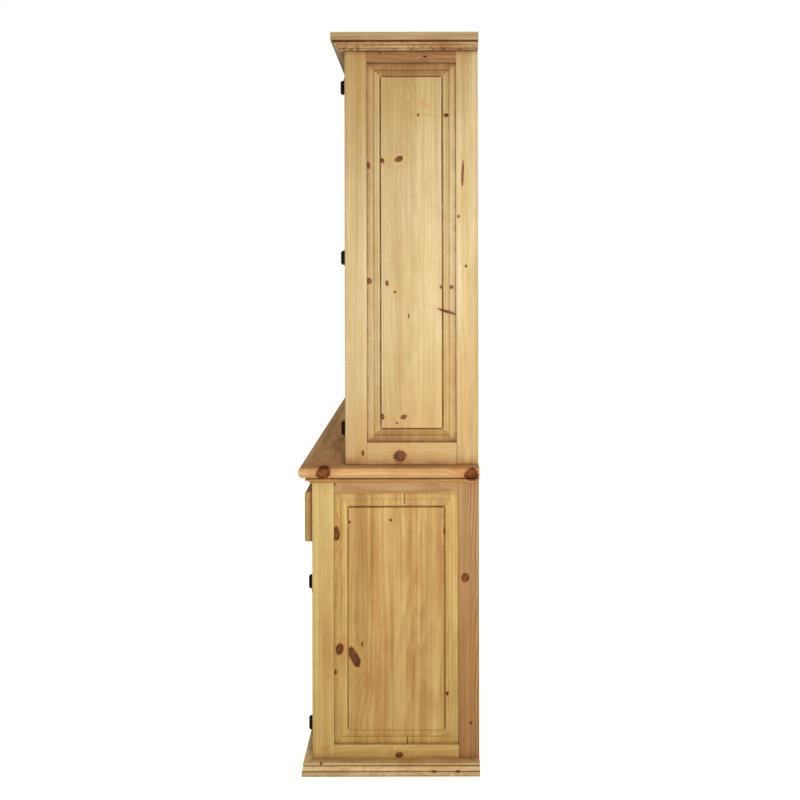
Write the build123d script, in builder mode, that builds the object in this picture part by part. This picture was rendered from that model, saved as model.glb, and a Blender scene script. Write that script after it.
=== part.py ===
"""Rustic pine trastero: a dish cabinet of two cases.

A wide lower case holds three panelled doors under three drawers and carries a moulded counter. A shallower
upper case with three glazed doors stands on the counter under a mitred cornice. The sides of both cases are
frames round raised panels, and every door turns on black iron butterfly hinges.

Frame: millimetres, +Z up, -Y to the front, +X to the right. The origin is on the floor, in the middle of the
space that the closed cabinet takes up.
"""

import math
import os

from build123d import *

# ---------------------------------------------------------------- driving dimensions

# Cases
height = 2032.0
counter_width = 1524.0
counter_overhang = 34.0
counter_height = 842.0
counter_thickness = 30.0
lower_depth = 460.0
upper_depth = 370.0
upper_inset = 20.0
cornice_stand = 12.0
rail_ground_gap = 10.0

# Corner posts: width seen from the front, and from the side
post_width = 48.0
lower_front_post_depth = 60.0
lower_back_post_depth = 57.0
upper_post_depth = 61.0

# Side frames
side_rail_thickness = 25.0
lower_side_top_rail = 46.0
lower_side_bottom_rail = 63.5
upper_side_top_rail = 64.0
upper_side_bottom_rail = 60.0

# Grooved joinery and raised panels
groove_setback = 11.0
groove_width = 8.0
groove_depth = 10.0
panel_float = 1.5
panel_border = 18.0
panel_step = 1.2
panel_cove = 9.0
panel_cove_rise = 3.4
panel_bead = 10.0
panel_bead_rise = 1.8
panel_quirk = 3.0
panel_field_rise = 8.0

# Front frames
face_thickness = 22.0
lower_mullion = 57.0
upper_mullion = 45.0
lower_face_bottom_rail = 49.5
lower_face_middle_rail = 72.5
lower_face_top_rail = 63.0
drawer_opening_height = 114.0
upper_face_bottom_rail = 39.5
upper_face_top_rail = 70.5

# Doors
door_gap = 2.5
stop_clearance = 0.5
stop_section = 14.0
stop_lap = 8.0
lower_door_stile = 62.0
lower_door_rail = 66.0
upper_door_stile = 56.0
upper_door_top_rail = 60.0
upper_door_bottom_rail = 78.0
door_groove_setback = 7.5
glass_rebate = 11.0
glass_thickness = 4.0
glass_clearance = 1.5
bead_width = 10.0

# Drawers
drawer_front_thickness = 25.0
drawer_front_gap = 0.5
drawer_front_round = 6.0
drawer_lap = 12.0
drawer_side_play = 1.5
drawer_top_play = 8.0
drawer_lift = 0.3
drawer_back_play = 60.5
drawer_board = 12.0
drawer_bottom_thickness = 6.0
drawer_bottom_height = 10.0
runner_height = 25.0
runner_ledge = 26.0
guide_height = 30.0
guide_width = 22.0
bearer_thickness = 25.0

# Inside boards
floor_thickness = 20.0
shelf_thickness = 20.0
shelf_front_setback = 14.0
lower_shelf_rise = 258.5
upper_shelf_spacing = 349.0
upper_shelf_count = 2
top_board_thickness = 18.0
cleat_section = 20.0
back_board_thickness = 15.0
back_board_count = 6
back_board_bevel = 2.5

# Hinges
leaf_thickness = 2.5
leaf_reach = 32.0
leaf_root_height = 32.0
leaf_tip_height = 52.0
leaf_tip_clip = 6.0
knuckle_radius = 6.5
knuckle_sides = 12
knuckle_standoff = 8.5
knuckle_gap = 0.3
knuckle_side_clearance = 0.5
pin_radius = 3.5
pin_clearance = 0.05
pin_head_radius = 5.5
pin_head_height = 4.0
hinge_end_distance = 51.5
lower_hinge_count = 2
upper_hinge_count = 3

# Hinge pins and knobs are hammered to flats
forged_sides = 8

# Knobs: the rings of the head are given as angles from its widest place
knob_reach = 28.0
knob_radius = 13.0
knob_neck_radius = 6.0
knob_rose_radius = 14.0
knob_rose_thickness = 2.5
knob_ring_angles = (-50, -18, 18, 50, 78)
knob_edge_distance = 28.0
lower_knob_drop = 140.0
upper_knob_rise = 446.0

# Edges of boards
edge_round = 2.0
counter_top_round = 8.0
counter_under_round = 16.0

# ---------------------------------------------------------------- worked out places

front_reach = drawer_front_gap + drawer_front_thickness + knob_reach
back_y = (lower_depth + front_reach) / 2
lower_face_y = back_y - lower_depth
upper_face_y = back_y - upper_depth
lower_half = counter_width / 2 - counter_overhang
upper_half = lower_half - upper_inset
lower_case_top = counter_height - counter_thickness
upper_case_top = height - cornice_stand
door_thickness = face_thickness - stop_clearance
boards_front_y = back_y - back_board_thickness

drawer_opening_top = lower_case_top - lower_face_top_rail
drawer_opening_bottom = drawer_opening_top - drawer_opening_height
drawer_front_bottom = drawer_opening_bottom - drawer_lap
drawer_front_top = drawer_opening_top + drawer_lap
lower_bottom_rail = (rail_ground_gap, rail_ground_gap + lower_face_bottom_rail)
middle_rail = (drawer_opening_bottom - lower_face_middle_rail, drawer_opening_bottom)
lower_top_rail = (drawer_opening_top, lower_case_top)
upper_bottom_rail = (counter_height, counter_height + upper_face_bottom_rail)
upper_top_rail = (upper_case_top - upper_face_top_rail, upper_case_top)
lower_door_bottom = lower_bottom_rail[1] + door_gap
lower_door_top = middle_rail[0] - door_gap
upper_door_bottom = upper_bottom_rail[1] + door_gap
upper_door_top = upper_top_rail[0] - door_gap
drawer_box_depth = boards_front_y - drawer_back_play - lower_face_y
lower_shelf_height = lower_bottom_rail[1] + lower_shelf_rise
upper_shelf_heights = [upper_bottom_rail[1] + (i + 1) * upper_shelf_spacing for i in range(upper_shelf_count)]


def spread(low, high, count):
    """Heights of a door's hinges, from one end to the other."""
    first, last = low + hinge_end_distance, high - hinge_end_distance
    return [first + i * (last - first) / (count - 1) for i in range(count)]


lower_hinge_heights = spread(lower_door_bottom, lower_door_top, lower_hinge_count)
upper_hinge_heights = spread(upper_door_bottom, upper_door_top, upper_hinge_count)

BAYS = ("left", "centre", "right")
hinge_side = {"left": -1, "centre": -1, "right": 1}

os.makedirs("parts", exist_ok=True)


# ---------------------------------------------------------------- shared shapes


def write(name, *solids):
    """Write one sub-part, of one solid or of several separate ones, to its STEP file."""
    shape = solids[0] if len(solids) == 1 else Compound(children=[Solid(s.solid().wrapped) for s in solids])
    shape.label = name
    export_step(shape, f"parts/{name}.step")


def board(x, y, z):
    """A square-edged board between low and high values of x, y and z."""
    with BuildPart() as piece:
        with BuildSketch(Plane(((x[0] + x[1]) / 2, (y[0] + y[1]) / 2, z[0]))):
            Rectangle(x[1] - x[0], y[1] - y[0])
        extrude(amount=z[1] - z[0])
    return piece.part


def forged(plane, rings):
    """A form hammered to flats, standing on a plane. Its rings are given as (rise, radius), from the foot
    up, and each pair of opposite flats is one cut straight through."""
    flat = math.cos(math.pi / forged_sides)
    profile = [(radius * flat, rise) for rise, radius in rings]
    outline = profile + [(-reach, rise) for reach, rise in reversed(profile)]
    widest = max(radius for rise, radius in rings)
    with BuildPart() as piece:
        for pair in range(forged_sides // 2):
            turn = (pair + 0.5) * 360 / forged_sides
            with BuildSketch(Plane.XZ.rotated((0, 0, turn))):
                with BuildLine():
                    Polyline(*outline, close=True)
                make_face()
            extrude(amount=widest, both=True, mode=Mode.INTERSECT if pair else Mode.ADD)
    return plane.location * piece.part


def flipped(solid):
    """The mirror twin of a solid on the other side of the cabinet's middle."""
    return mirror(solid, about=Plane.YZ)


def across(lengths, start, gap):
    """Running (low, high) pairs for pieces of the given lengths with a gap between neighbours."""
    spans = []
    for length in lengths:
        spans.append((start, start + length))
        start += length + gap
    return spans


def bays(half, mullion):
    """The clear (low, high) x of each front opening between posts and mullions."""
    clear = (2 * (half - post_width) - (len(BAYS) - 1) * mullion) / len(BAYS)
    return dict(zip(BAYS, across([clear] * len(BAYS), post_width - half, mullion)))


def frame_stile(x, y, thickness, slot, inner_x, depth):
    """A stile in frame coordinates, eased along its outer edge and slotted along its inner edge to take the
    rails and the infill."""
    side = 1 if inner_x == x[1] else -1
    with BuildPart() as piece:
        add(board(x, y, (-thickness, 0)))
        face_edges = piece.edges().filter_by(Axis.Y).group_by(Axis.Z)[-1].sort_by(Axis.X)
        chamfer(face_edges[0 if side > 0 else -1], length=edge_round)
        slot_x = sorted((inner_x, inner_x - side * depth))
        add(board(slot_x, y, slot), mode=Mode.SUBTRACT)
    return piece.part


def frame_rail(x, y, thickness, slot, inner_y, depth):
    """A rail in frame coordinates: a stub tenon at each end fits the stiles' slots, and the inner edge is
    slotted too."""
    side = 1 if inner_y == y[1] else -1
    tenon_x = (x[0] - depth, x[1] + depth)
    slot_y = sorted((inner_y, inner_y - side * depth))
    with BuildPart() as piece:
        add(board(x, y, (-thickness, 0)))
        add(board(tenon_x, y, slot))
        add(board(tenon_x, slot_y, slot), mode=Mode.SUBTRACT)
    return piece.part


def panel_waste(length):
    """The waste along one edge of a raised panel, which lies on x = 0: a flat border, a small step, a cove, a
    flattened bead, and a quirk up to the field."""
    tongue = groove_width
    border_end = groove_depth - panel_float + panel_border
    cove_end = border_end + panel_cove
    bead_end = cove_end + panel_bead
    cove_foot = tongue - panel_step
    cove_top = cove_foot + panel_cove_rise
    crown = cove_top + panel_bead_rise
    clear = tongue + panel_field_rise + edge_round
    with BuildPart() as piece:
        with BuildSketch(Plane.XZ):
            with BuildLine():
                Polyline((-edge_round, tongue), (border_end, tongue), (border_end, cove_foot))
                RadiusArc((border_end, cove_foot), (cove_end, cove_top), 2 * panel_cove)
                ThreePointArc(
                    (cove_end, cove_top),
                    ((cove_end + bead_end) / 2, crown),
                    (bead_end, cove_top),
                )
                Polyline(
                    (bead_end, cove_top),
                    (bead_end + panel_quirk, cove_top - panel_quirk / 2),
                    (bead_end + panel_quirk, clear),
                    (-edge_round, clear),
                    (-edge_round, tongue),
                )
            make_face()
        extrude(amount=length / 2, both=True)
    return piece.part


def raised_panel(width, height):
    """A raised panel, its back on z = 0 and its centre on the axis, moulded along all four edges so that the
    moulding meets in mitres at the corners."""
    with BuildPart() as piece:
        with BuildSketch():
            Rectangle(width, height)
        extrude(amount=groove_width + panel_field_rise)
        for turn, span, run in ((0, width, height), (90, height, width)):
            for half_turn in (0, 180):
                edge = Rot(0, 0, turn + half_turn) * Pos(-span / 2, 0, 0)
                add(edge * panel_waste(run), mode=Mode.SUBTRACT)
    return piece.part


def mitred_trim(name, half, face_y, base_z, reach, section):
    """One moulding round the front and both sides of a case: three lengths, mitred at the front corners.
    section draws the closed outline with x outwards from the case and y up from base_z."""
    long_half = half + reach
    corner = (half, face_y, 0)
    with BuildPart() as front:
        with BuildSketch(Plane((long_half, face_y, base_z), x_dir=(0, -1, 0), z_dir=(-1, 0, 0))):
            with BuildLine():
                section()
            make_face()
        extrude(amount=2 * long_half)
        split(bisect_by=Plane(corner, x_dir=(0, 0, 1), z_dir=(-1, -1, 0)), keep=Keep.TOP)
        split(bisect_by=Plane((-half, face_y, 0), x_dir=(0, 0, 1), z_dir=(1, -1, 0)), keep=Keep.TOP)
    with BuildPart() as side:
        with BuildSketch(Plane((half, back_y, base_z), x_dir=(1, 0, 0), z_dir=(0, -1, 0))):
            with BuildLine():
                section()
            make_face()
        extrude(amount=back_y - face_y + reach)
        split(bisect_by=Plane(corner, x_dir=(0, 0, 1), z_dir=(1, 1, 0)), keep=Keep.TOP)
    write(name, front.part, side.part, flipped(side.part))


# ---------------------------------------------------------------- side frames


def side_frame(case, half, face_y, front_depth, back_depth, z, opening, rail_foot):
    """Both sides of one case: corner posts, rails let into them and a raised panel floating between."""
    depth = back_y - face_y
    slot = (-groove_setback - groove_width, -groove_setback)
    side_plane = Plane((half, face_y, 0), x_dir=(0, 1, 0), z_dir=(1, 0, 0))
    inner = (front_depth, depth - back_depth)
    posts = (
        frame_stile((0, front_depth), z, post_width, slot, inner[0], groove_depth),
        frame_stile((inner[1], depth), z, post_width, slot, inner[1], groove_depth),
    )
    rails = (
        frame_rail(inner, (rail_foot, opening[0]), side_rail_thickness, slot, opening[0], groove_depth),
        frame_rail(inner, (opening[1], z[1]), side_rail_thickness, slot, opening[1], groove_depth),
    )
    tongue = 2 * (groove_depth - panel_float)
    panel = raised_panel(inner[1] - inner[0] + tongue, opening[1] - opening[0] + tongue)
    middle = Pos((inner[0] + inner[1]) / 2, (opening[0] + opening[1]) / 2, slot[0])
    placed = side_plane.location * middle * panel
    right_posts = [side_plane.location * post for post in posts]
    right_rails = [side_plane.location * rail for rail in rails]
    write(f"{case}_corner_posts", *right_posts, *[flipped(post) for post in right_posts])
    write(f"{case}_side_rails", *right_rails, *[flipped(rail) for rail in right_rails])
    write(f"{case}_side_panel_right", placed)
    write(f"{case}_side_panel_left", flipped(placed))


side_frame(
    "lower",
    lower_half,
    lower_face_y,
    lower_front_post_depth,
    lower_back_post_depth,
    (0, lower_case_top),
    (rail_ground_gap + lower_side_bottom_rail, lower_case_top - lower_side_top_rail),
    rail_ground_gap,
)
side_frame(
    "upper",
    upper_half,
    upper_face_y,
    upper_post_depth,
    upper_post_depth,
    (counter_height, upper_case_top),
    (counter_height + upper_side_bottom_rail, upper_case_top - upper_side_top_rail),
    counter_height,
)

# ---------------------------------------------------------------- front frames

lower_bays = bays(lower_half, lower_mullion)
upper_bays = bays(upper_half, upper_mullion)


def between(openings):
    """The (low, high) x of each mullion between neighbouring openings."""
    spans = list(openings.values())
    return [(left[1], right[0]) for left, right in zip(spans, spans[1:])]


lower_face = (lower_face_y, lower_face_y + face_thickness)
upper_face = (upper_face_y, upper_face_y + face_thickness)
lower_clear = (post_width - lower_half, lower_half - post_width)
upper_clear = (post_width - upper_half, upper_half - post_width)

write(
    "lower_face_rails",
    board(lower_clear, lower_face, lower_bottom_rail),
    board(lower_clear, lower_face, lower_top_rail),
    *[board(span, lower_face, middle_rail) for span in lower_bays.values()],
)
write(
    "lower_face_mullions",
    *[board(span, lower_face, (lower_bottom_rail[1], lower_top_rail[0])) for span in between(lower_bays)],
)
write(
    "upper_face_rails",
    board(upper_clear, upper_face, upper_bottom_rail),
    board(upper_clear, upper_face, upper_top_rail),
)
write(
    "upper_face_mullions",
    *[board(span, upper_face, (upper_bottom_rail[1], upper_top_rail[0])) for span in between(upper_bays)],
)

# ---------------------------------------------------------------- floors, top, shelves and backs


def notched_board(half, front_y, front_post_y, back_post_y, top, thickness):
    """A board that fills a case between its side rails and fits round the four corner posts."""
    inner = half - side_rail_thickness
    notch = inner - (half - post_width)
    with BuildPart() as piece:
        with BuildSketch(Plane((0, (front_y + boards_front_y) / 2, top - thickness))):
            Rectangle(2 * inner, boards_front_y - front_y)
        extrude(amount=thickness)
        for side in (-1, 1):
            post_x = side * (inner - notch / 2)
            for edge, post in ((front_y, front_post_y), (boards_front_y, back_post_y)):
                if edge != post:
                    with BuildSketch(Plane((post_x, (edge + post) / 2, top - thickness))):
                        Rectangle(notch, abs(post - edge))
                    extrude(amount=thickness, mode=Mode.SUBTRACT)
    return piece.part


lower_front_post_y = lower_face_y + lower_front_post_depth
lower_back_post_y = back_y - lower_back_post_depth
upper_front_post_y = upper_face_y + upper_post_depth
upper_back_post_y = back_y - upper_post_depth
lower_plan = (lower_half, lower_face[1], lower_front_post_y, lower_back_post_y)
upper_plan = (upper_half, upper_face[1], upper_front_post_y, upper_back_post_y)

write("lower_floor_board", notched_board(*lower_plan, lower_bottom_rail[1], floor_thickness))
write("upper_floor_board", notched_board(*upper_plan, upper_bottom_rail[1], floor_thickness))
write("upper_top_board", notched_board(*upper_plan, upper_case_top, top_board_thickness))


def shelf(half, face, front_post_y, back_post_y, top):
    """A shelf, set back behind the doors."""
    return notched_board(half, face[1] + shelf_front_setback, front_post_y, back_post_y, top, shelf_thickness)


def shelf_cleats(half, front_post_y, back_post_y, top):
    """Two side cleats between the posts and one along the back boards, under a shelf."""
    z = (top - shelf_thickness - cleat_section, top - shelf_thickness)
    inner = half - side_rail_thickness
    clear = half - post_width
    right = board((inner - cleat_section, inner), (front_post_y, back_post_y), z)
    back = board((-clear, clear), (boards_front_y - cleat_section, boards_front_y), z)
    return right, flipped(right), back


lower_shelf_fit = (lower_half, lower_front_post_y, lower_back_post_y, lower_shelf_height)
upper_shelf_fits = [(upper_half, upper_front_post_y, upper_back_post_y, top) for top in upper_shelf_heights]
write(
    "shelves",
    shelf(lower_half, lower_face, *lower_shelf_fit[1:]),
    *[shelf(upper_half, upper_face, *fit[1:]) for fit in upper_shelf_fits],
)
write(
    "shelf_cleats",
    *[cleat for fit in (lower_shelf_fit, *upper_shelf_fits) for cleat in shelf_cleats(*fit)],
)


def back_boards(name, half, z):
    """Upright back boards with bevelled long edges, side by side between the back posts."""
    clear = half - post_width
    width = 2 * clear / back_board_count
    boards = []
    for x in across([width] * back_board_count, -clear, 0):
        with BuildPart() as piece:
            add(board(x, (boards_front_y, back_y), z))
            chamfer(piece.edges().filter_by(Axis.Z), length=back_board_bevel)
        boards.append(piece.part)
    write(name, *boards)


back_boards("lower_back_boards", lower_half, (rail_ground_gap, lower_case_top))
back_boards("upper_back_boards", upper_half, (counter_height, upper_case_top))

# ---------------------------------------------------------------- drawer runners and door stops

bearer_y = (boards_front_y - bearer_thickness, boards_front_y)
runner_z = (drawer_opening_bottom - runner_height, drawer_opening_bottom)
guide_z = (drawer_opening_bottom, drawer_opening_bottom + guide_height)
runner_y = (lower_face[1], bearer_y[0])
end_runner = board((lower_clear[1] - runner_ledge, lower_clear[1]), runner_y, runner_z)
end_guide = board(
    (lower_clear[1], lower_clear[1] + guide_width), (lower_front_post_y, lower_back_post_y), guide_z
)
write(
    "drawer_runners",
    board(lower_clear, bearer_y, runner_z),
    end_runner,
    flipped(end_runner),
    end_guide,
    flipped(end_guide),
    *[board((x[0] - runner_ledge, x[1] + runner_ledge), runner_y, runner_z) for x in between(lower_bays)],
    *[board(x, runner_y, guide_z) for x in between(lower_bays)],
)


def door_stop(opening, side, face, z):
    """A strip fixed behind the front frame, which the free edge of a door closes against."""
    edge = opening[0] if side > 0 else opening[1]
    x = sorted((edge + side * stop_lap, edge + side * (stop_lap - stop_section)))
    return board(x, (face[1], face[1] + stop_section), z)


write(
    "door_stops",
    *[
        door_stop(lower_bays[bay], hinge_side[bay], lower_face, (lower_bottom_rail[1], middle_rail[0]))
        for bay in BAYS
    ],
    *[
        door_stop(upper_bays[bay], hinge_side[bay], upper_face, (upper_bottom_rail[1], upper_top_rail[0]))
        for bay in BAYS
    ],
)

# ---------------------------------------------------------------- counter and mouldings

with BuildPart() as counter_top:
    with BuildSketch(Plane((0, back_y, lower_case_top))):
        Rectangle(counter_width, lower_depth + counter_overhang, align=(Align.CENTER, Align.MAX))
    extrude(amount=counter_thickness)
    nose = counter_top.faces().filter_by(Axis.Z)
    back_edges = counter_top.edges().filter_by(Axis.X).group_by(Axis.Y)[-1]
    fillet([e for e in nose.sort_by(Axis.Z)[-1].edges() if e not in back_edges], radius=counter_top_round)
    lowest = counter_top.faces().filter_by(Axis.Z).sort_by(Axis.Z)[0]
    fillet([e for e in lowest.edges() if e not in back_edges], radius=counter_under_round)
write("counter_top", counter_top.part)

# Under the counter: a quirk, a bead and a small cove that runs back to the case
bed_height = 15.0
bed_reach = 18.0
bed_foot = 7.0
bed_quirk = 2.0
bed_quirk_depth = 6.0
bed_bead = 7.0


def bed_section():
    """Cove, bead and quirk, from the bottom up."""
    bead_top = bed_height - bed_quirk
    bead_foot = bead_top - bed_bead
    bead_seat = bed_reach - bed_bead / 2
    Line((0, 0), (bed_foot, 0))
    RadiusArc((bed_foot, 0), (bead_seat, bead_foot), bed_bead)
    ThreePointArc((bead_seat, bead_foot), (bed_reach, (bead_foot + bead_top) / 2), (bead_seat, bead_top))
    Polyline(
        (bead_seat, bead_top),
        (bed_reach - bed_quirk_depth, bead_top),
        (bed_reach - bed_quirk_depth, bed_height),
        (0, bed_height),
        (0, 0),
    )


mitred_trim("counter_moulding", lower_half, lower_face_y, lower_case_top - bed_height, bed_reach, bed_section)

# Round the foot: a skirting, and above it an ovolo and a bead, parted by quirks
plinth_height = 38.0
plinth_reach = 27.0
plinth_skirting = 12.5
plinth_quirk = 2.0
plinth_quirk_depth = 3.5
plinth_ovolo = 12.0
plinth_ovolo_reach = 25.5
plinth_bead = 7.0
plinth_bead_reach = 24.0


def plinth_section():
    """Skirting, quirk, ovolo, quirk, bead and a sloping top, from the floor up."""
    ovolo_foot = plinth_skirting + plinth_quirk
    ovolo_top = ovolo_foot + plinth_ovolo
    bead_foot = ovolo_top + plinth_quirk
    bead_top = bead_foot + plinth_bead
    bead_seat = plinth_bead_reach - plinth_bead / 2
    bead_crown = (plinth_bead_reach, (bead_foot + bead_top) / 2)
    ovolo_seat = plinth_ovolo_reach - plinth_quirk_depth
    Polyline(
        (0, 0),
        (plinth_reach, 0),
        (plinth_reach, plinth_skirting),
        (ovolo_seat, plinth_skirting),
        (ovolo_seat, ovolo_foot),
        (plinth_ovolo_reach, ovolo_foot),
    )
    RadiusArc((plinth_ovolo_reach, ovolo_foot), (ovolo_seat, ovolo_top), -2 * plinth_ovolo)
    Polyline(
        (ovolo_seat, ovolo_top),
        (bead_seat - plinth_quirk, ovolo_top),
        (bead_seat - plinth_quirk, bead_foot),
        (bead_seat, bead_foot),
    )
    ThreePointArc((bead_seat, bead_foot), bead_crown, (bead_seat, bead_top))
    Polyline((bead_seat, bead_top), (0, plinth_height), (0, 0))


mitred_trim("plinth_moulding", lower_half, lower_face_y, 0, plinth_reach, plinth_section)

# Cornice: a deep fascia over a quirk, a bead, a cove and two fillets
cornice_height = 45.0
cornice_reach = 36.0
cornice_fascia = 21.5
cornice_quirk = 2.0
cornice_bead = 7.0
cornice_bead_reach = 29.5
cornice_foot = 12.0
cornice_fillet = 5.0
cornice_upper_fillet = 2.5
cornice_fillet_step = 3.0


def cornice_section():
    """Two fillets, cove, bead, quirk and fascia, from the bottom up."""
    second_reach = cornice_foot + cornice_fillet_step
    cove_foot = cornice_fillet + cornice_upper_fillet
    fascia_foot = cornice_height - cornice_fascia
    bead_top = fascia_foot - cornice_quirk
    bead_foot = bead_top - cornice_bead
    bead_seat = cornice_bead_reach - cornice_bead / 2
    bead_crown = (cornice_bead_reach, (bead_foot + bead_top) / 2)
    Polyline(
        (0, 0),
        (cornice_foot, 0),
        (cornice_foot, cornice_fillet),
        (second_reach, cornice_fillet),
        (second_reach, cove_foot),
    )
    RadiusArc((second_reach, cove_foot), (bead_seat, bead_foot), 2 * cornice_bead)
    ThreePointArc((bead_seat, bead_foot), bead_crown, (bead_seat, bead_top))
    Polyline(
        (bead_seat, bead_top),
        (bead_seat, fascia_foot),
        (cornice_reach, fascia_foot),
        (cornice_reach, cornice_height),
        (0, cornice_height),
        (0, 0),
    )


mitred_trim(
    "cornice_moulding", upper_half, upper_face_y, height - cornice_height, cornice_reach, cornice_section
)

# ---------------------------------------------------------------- hinges


def hinge_leaf(knuckles, barrel):
    """One leaf in hinge coordinates: x across the door from the pin, y outwards from the pin, z up. Its
    knuckles take the given (low, high) parts of the barrel, and it is cut back beside the others."""
    root = knuckle_radius + knuckle_side_clearance
    back = -knuckle_standoff
    with BuildPart() as piece:
        with BuildSketch(Plane((0, back, 0), x_dir=(1, 0, 0), z_dir=(0, -1, 0))):
            with BuildLine():
                Polyline(
                    (root, -leaf_root_height / 2),
                    (leaf_reach, -leaf_tip_height / 2),
                    (leaf_reach, leaf_tip_height / 2),
                    (root, leaf_root_height / 2),
                    (root, -leaf_root_height / 2),
                )
            make_face()
        extrude(amount=-leaf_thickness)
        tips = piece.edges().filter_by(Axis.Y).group_by(Axis.X)[-1]
        chamfer(tips, length=leaf_tip_clip)
        for low, high in knuckles:
            with BuildSketch(Plane((0, 0, low))):
                RegularPolygon(knuckle_radius, knuckle_sides)
                with BuildLine():
                    Polyline(
                        (0, 0),
                        (0, -knuckle_radius),
                        (door_gap / 2, -knuckle_radius),
                        (door_gap / 2, back),
                        (root, back),
                        (root, back + leaf_thickness),
                        (knuckle_radius, 0),
                        (0, 0),
                    )
                make_face()
            extrude(amount=high - low)
        with BuildSketch(Plane((0, 0, barrel[0]))):
            RegularPolygon(pin_radius + pin_clearance, forged_sides, major_radius=False)
        extrude(amount=barrel[1] - barrel[0], mode=Mode.SUBTRACT)
    return piece.part


def hinge_pin(barrel):
    """The pin, with a head at each end of the barrel."""
    head = ((0, pin_head_radius), (pin_head_height, pin_head_radius / 2))
    with BuildPart() as piece:
        with BuildSketch(Plane.XY.offset(barrel[0])):
            RegularPolygon(pin_radius, forged_sides)
        extrude(amount=barrel[1] - barrel[0])
        add(forged(Plane.XY.offset(barrel[1]), head))
        add(forged(Plane((0, 0, barrel[0]), z_dir=(0, 0, -1)), head))
    return piece.part


knuckle_height = (leaf_root_height - 2 * knuckle_gap) / 3
knuckle_spans = across([knuckle_height] * 3, -leaf_root_height / 2, knuckle_gap)
barrel_span = (-leaf_root_height / 2, leaf_root_height / 2)
door_leaf = hinge_leaf(knuckle_spans[1:2], barrel_span)
case_leaf = hinge_leaf(knuckle_spans[0::2], barrel_span)
pin = hinge_pin(barrel_span)


def hinge_line(opening, side):
    """The x of a door's pins: the middle of the gap on its hinge side."""
    return (opening[1] - door_gap / 2) if side > 0 else (opening[0] + door_gap / 2)


def hung(solid, openings, face_y, heights, bay, over_door=True):
    """Copies of a hinge piece at every hinge of one door, reaching over the door or over the case."""
    side = hinge_side[bay]
    turned = mirror(solid, about=Plane.XZ)
    handed = mirror(turned, about=Plane.YZ) if (side > 0) == over_door else turned
    x = hinge_line(openings[bay], side)
    return [Pos(x, face_y - knuckle_standoff, z) * handed for z in heights]


# ---------------------------------------------------------------- knobs


def knob(x, y, z):
    """A forged knob, pointing to the front from the given place: rose, neck and a head hammered to flats."""
    angles = [math.radians(angle) for angle in knob_ring_angles]
    centre = knob_reach - knob_radius * math.sin(angles[-1])
    rings = [
        (0, knob_rose_radius),
        (knob_rose_thickness, knob_rose_radius),
        (2 * knob_rose_thickness, knob_neck_radius),
    ]
    rings += [(centre + knob_radius * math.sin(angle), knob_radius * math.cos(angle)) for angle in angles]
    return forged(Plane((x, y, z), x_dir=(1, 0, 0), z_dir=(0, -1, 0)), rings)


# ---------------------------------------------------------------- doors


def door_frame(width, height, stile, bottom_rail, top_rail, slot, depth):
    """Two stiles and two rails in frame coordinates, with the lower left corner at the origin."""
    inner_x = (stile, width - stile)
    inner_y = (bottom_rail, height - top_rail)
    full = (0, height)
    frame = [
        frame_stile((0, stile), full, door_thickness, slot, inner_x[0], depth),
        frame_stile((inner_x[1], width), full, door_thickness, slot, inner_x[1], depth),
        frame_rail(inner_x, (0, inner_y[0]), door_thickness, slot, inner_y[0], depth),
        frame_rail(inner_x, (inner_y[1], height), door_thickness, slot, inner_y[1], depth),
    ]
    return frame, inner_x, inner_y


def door_plane(opening, face_y, bottom):
    """The outer face of a closed door, with its origin at the lower left corner."""
    return Plane((opening[0] + door_gap, face_y, bottom), x_dir=(1, 0, 0), z_dir=(0, -1, 0))


def knob_x(opening, side, stile):
    """The middle of the free stile, where the knob stands."""
    edge = opening[0] + door_gap if side > 0 else opening[1] - door_gap
    return edge + side * min(knob_edge_distance, stile / 2)


def panelled_door(bay):
    """A lower door: grooved frame, raised panel, knob and hinge leaves."""
    opening, side = lower_bays[bay], hinge_side[bay]
    width = opening[1] - opening[0] - 2 * door_gap
    rise = lower_door_top - lower_door_bottom
    slot = (-door_groove_setback - groove_width, -door_groove_setback)
    frame, inner_x, inner_y = door_frame(
        width, rise, lower_door_stile, lower_door_rail, lower_door_rail, slot, groove_depth
    )
    place = door_plane(opening, lower_face_y, lower_door_bottom).location
    tongue = 2 * (groove_depth - panel_float)
    panel = raised_panel(inner_x[1] - inner_x[0] + tongue, inner_y[1] - inner_y[0] + tongue)
    middle = Pos(sum(inner_x) / 2, sum(inner_y) / 2, slot[0])
    name = f"lower_door_{bay}"
    write(f"{name}_frame", *[place * member for member in frame])
    write(f"{name}_panel", place * middle * panel)
    knob_z = lower_door_top - lower_knob_drop
    write(f"{name}_knob", knob(knob_x(opening, side, lower_door_stile), lower_face_y, knob_z))
    write(f"{name}_hinge_leaves", *hung(door_leaf, lower_bays, lower_face_y, lower_hinge_heights, bay))


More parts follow.
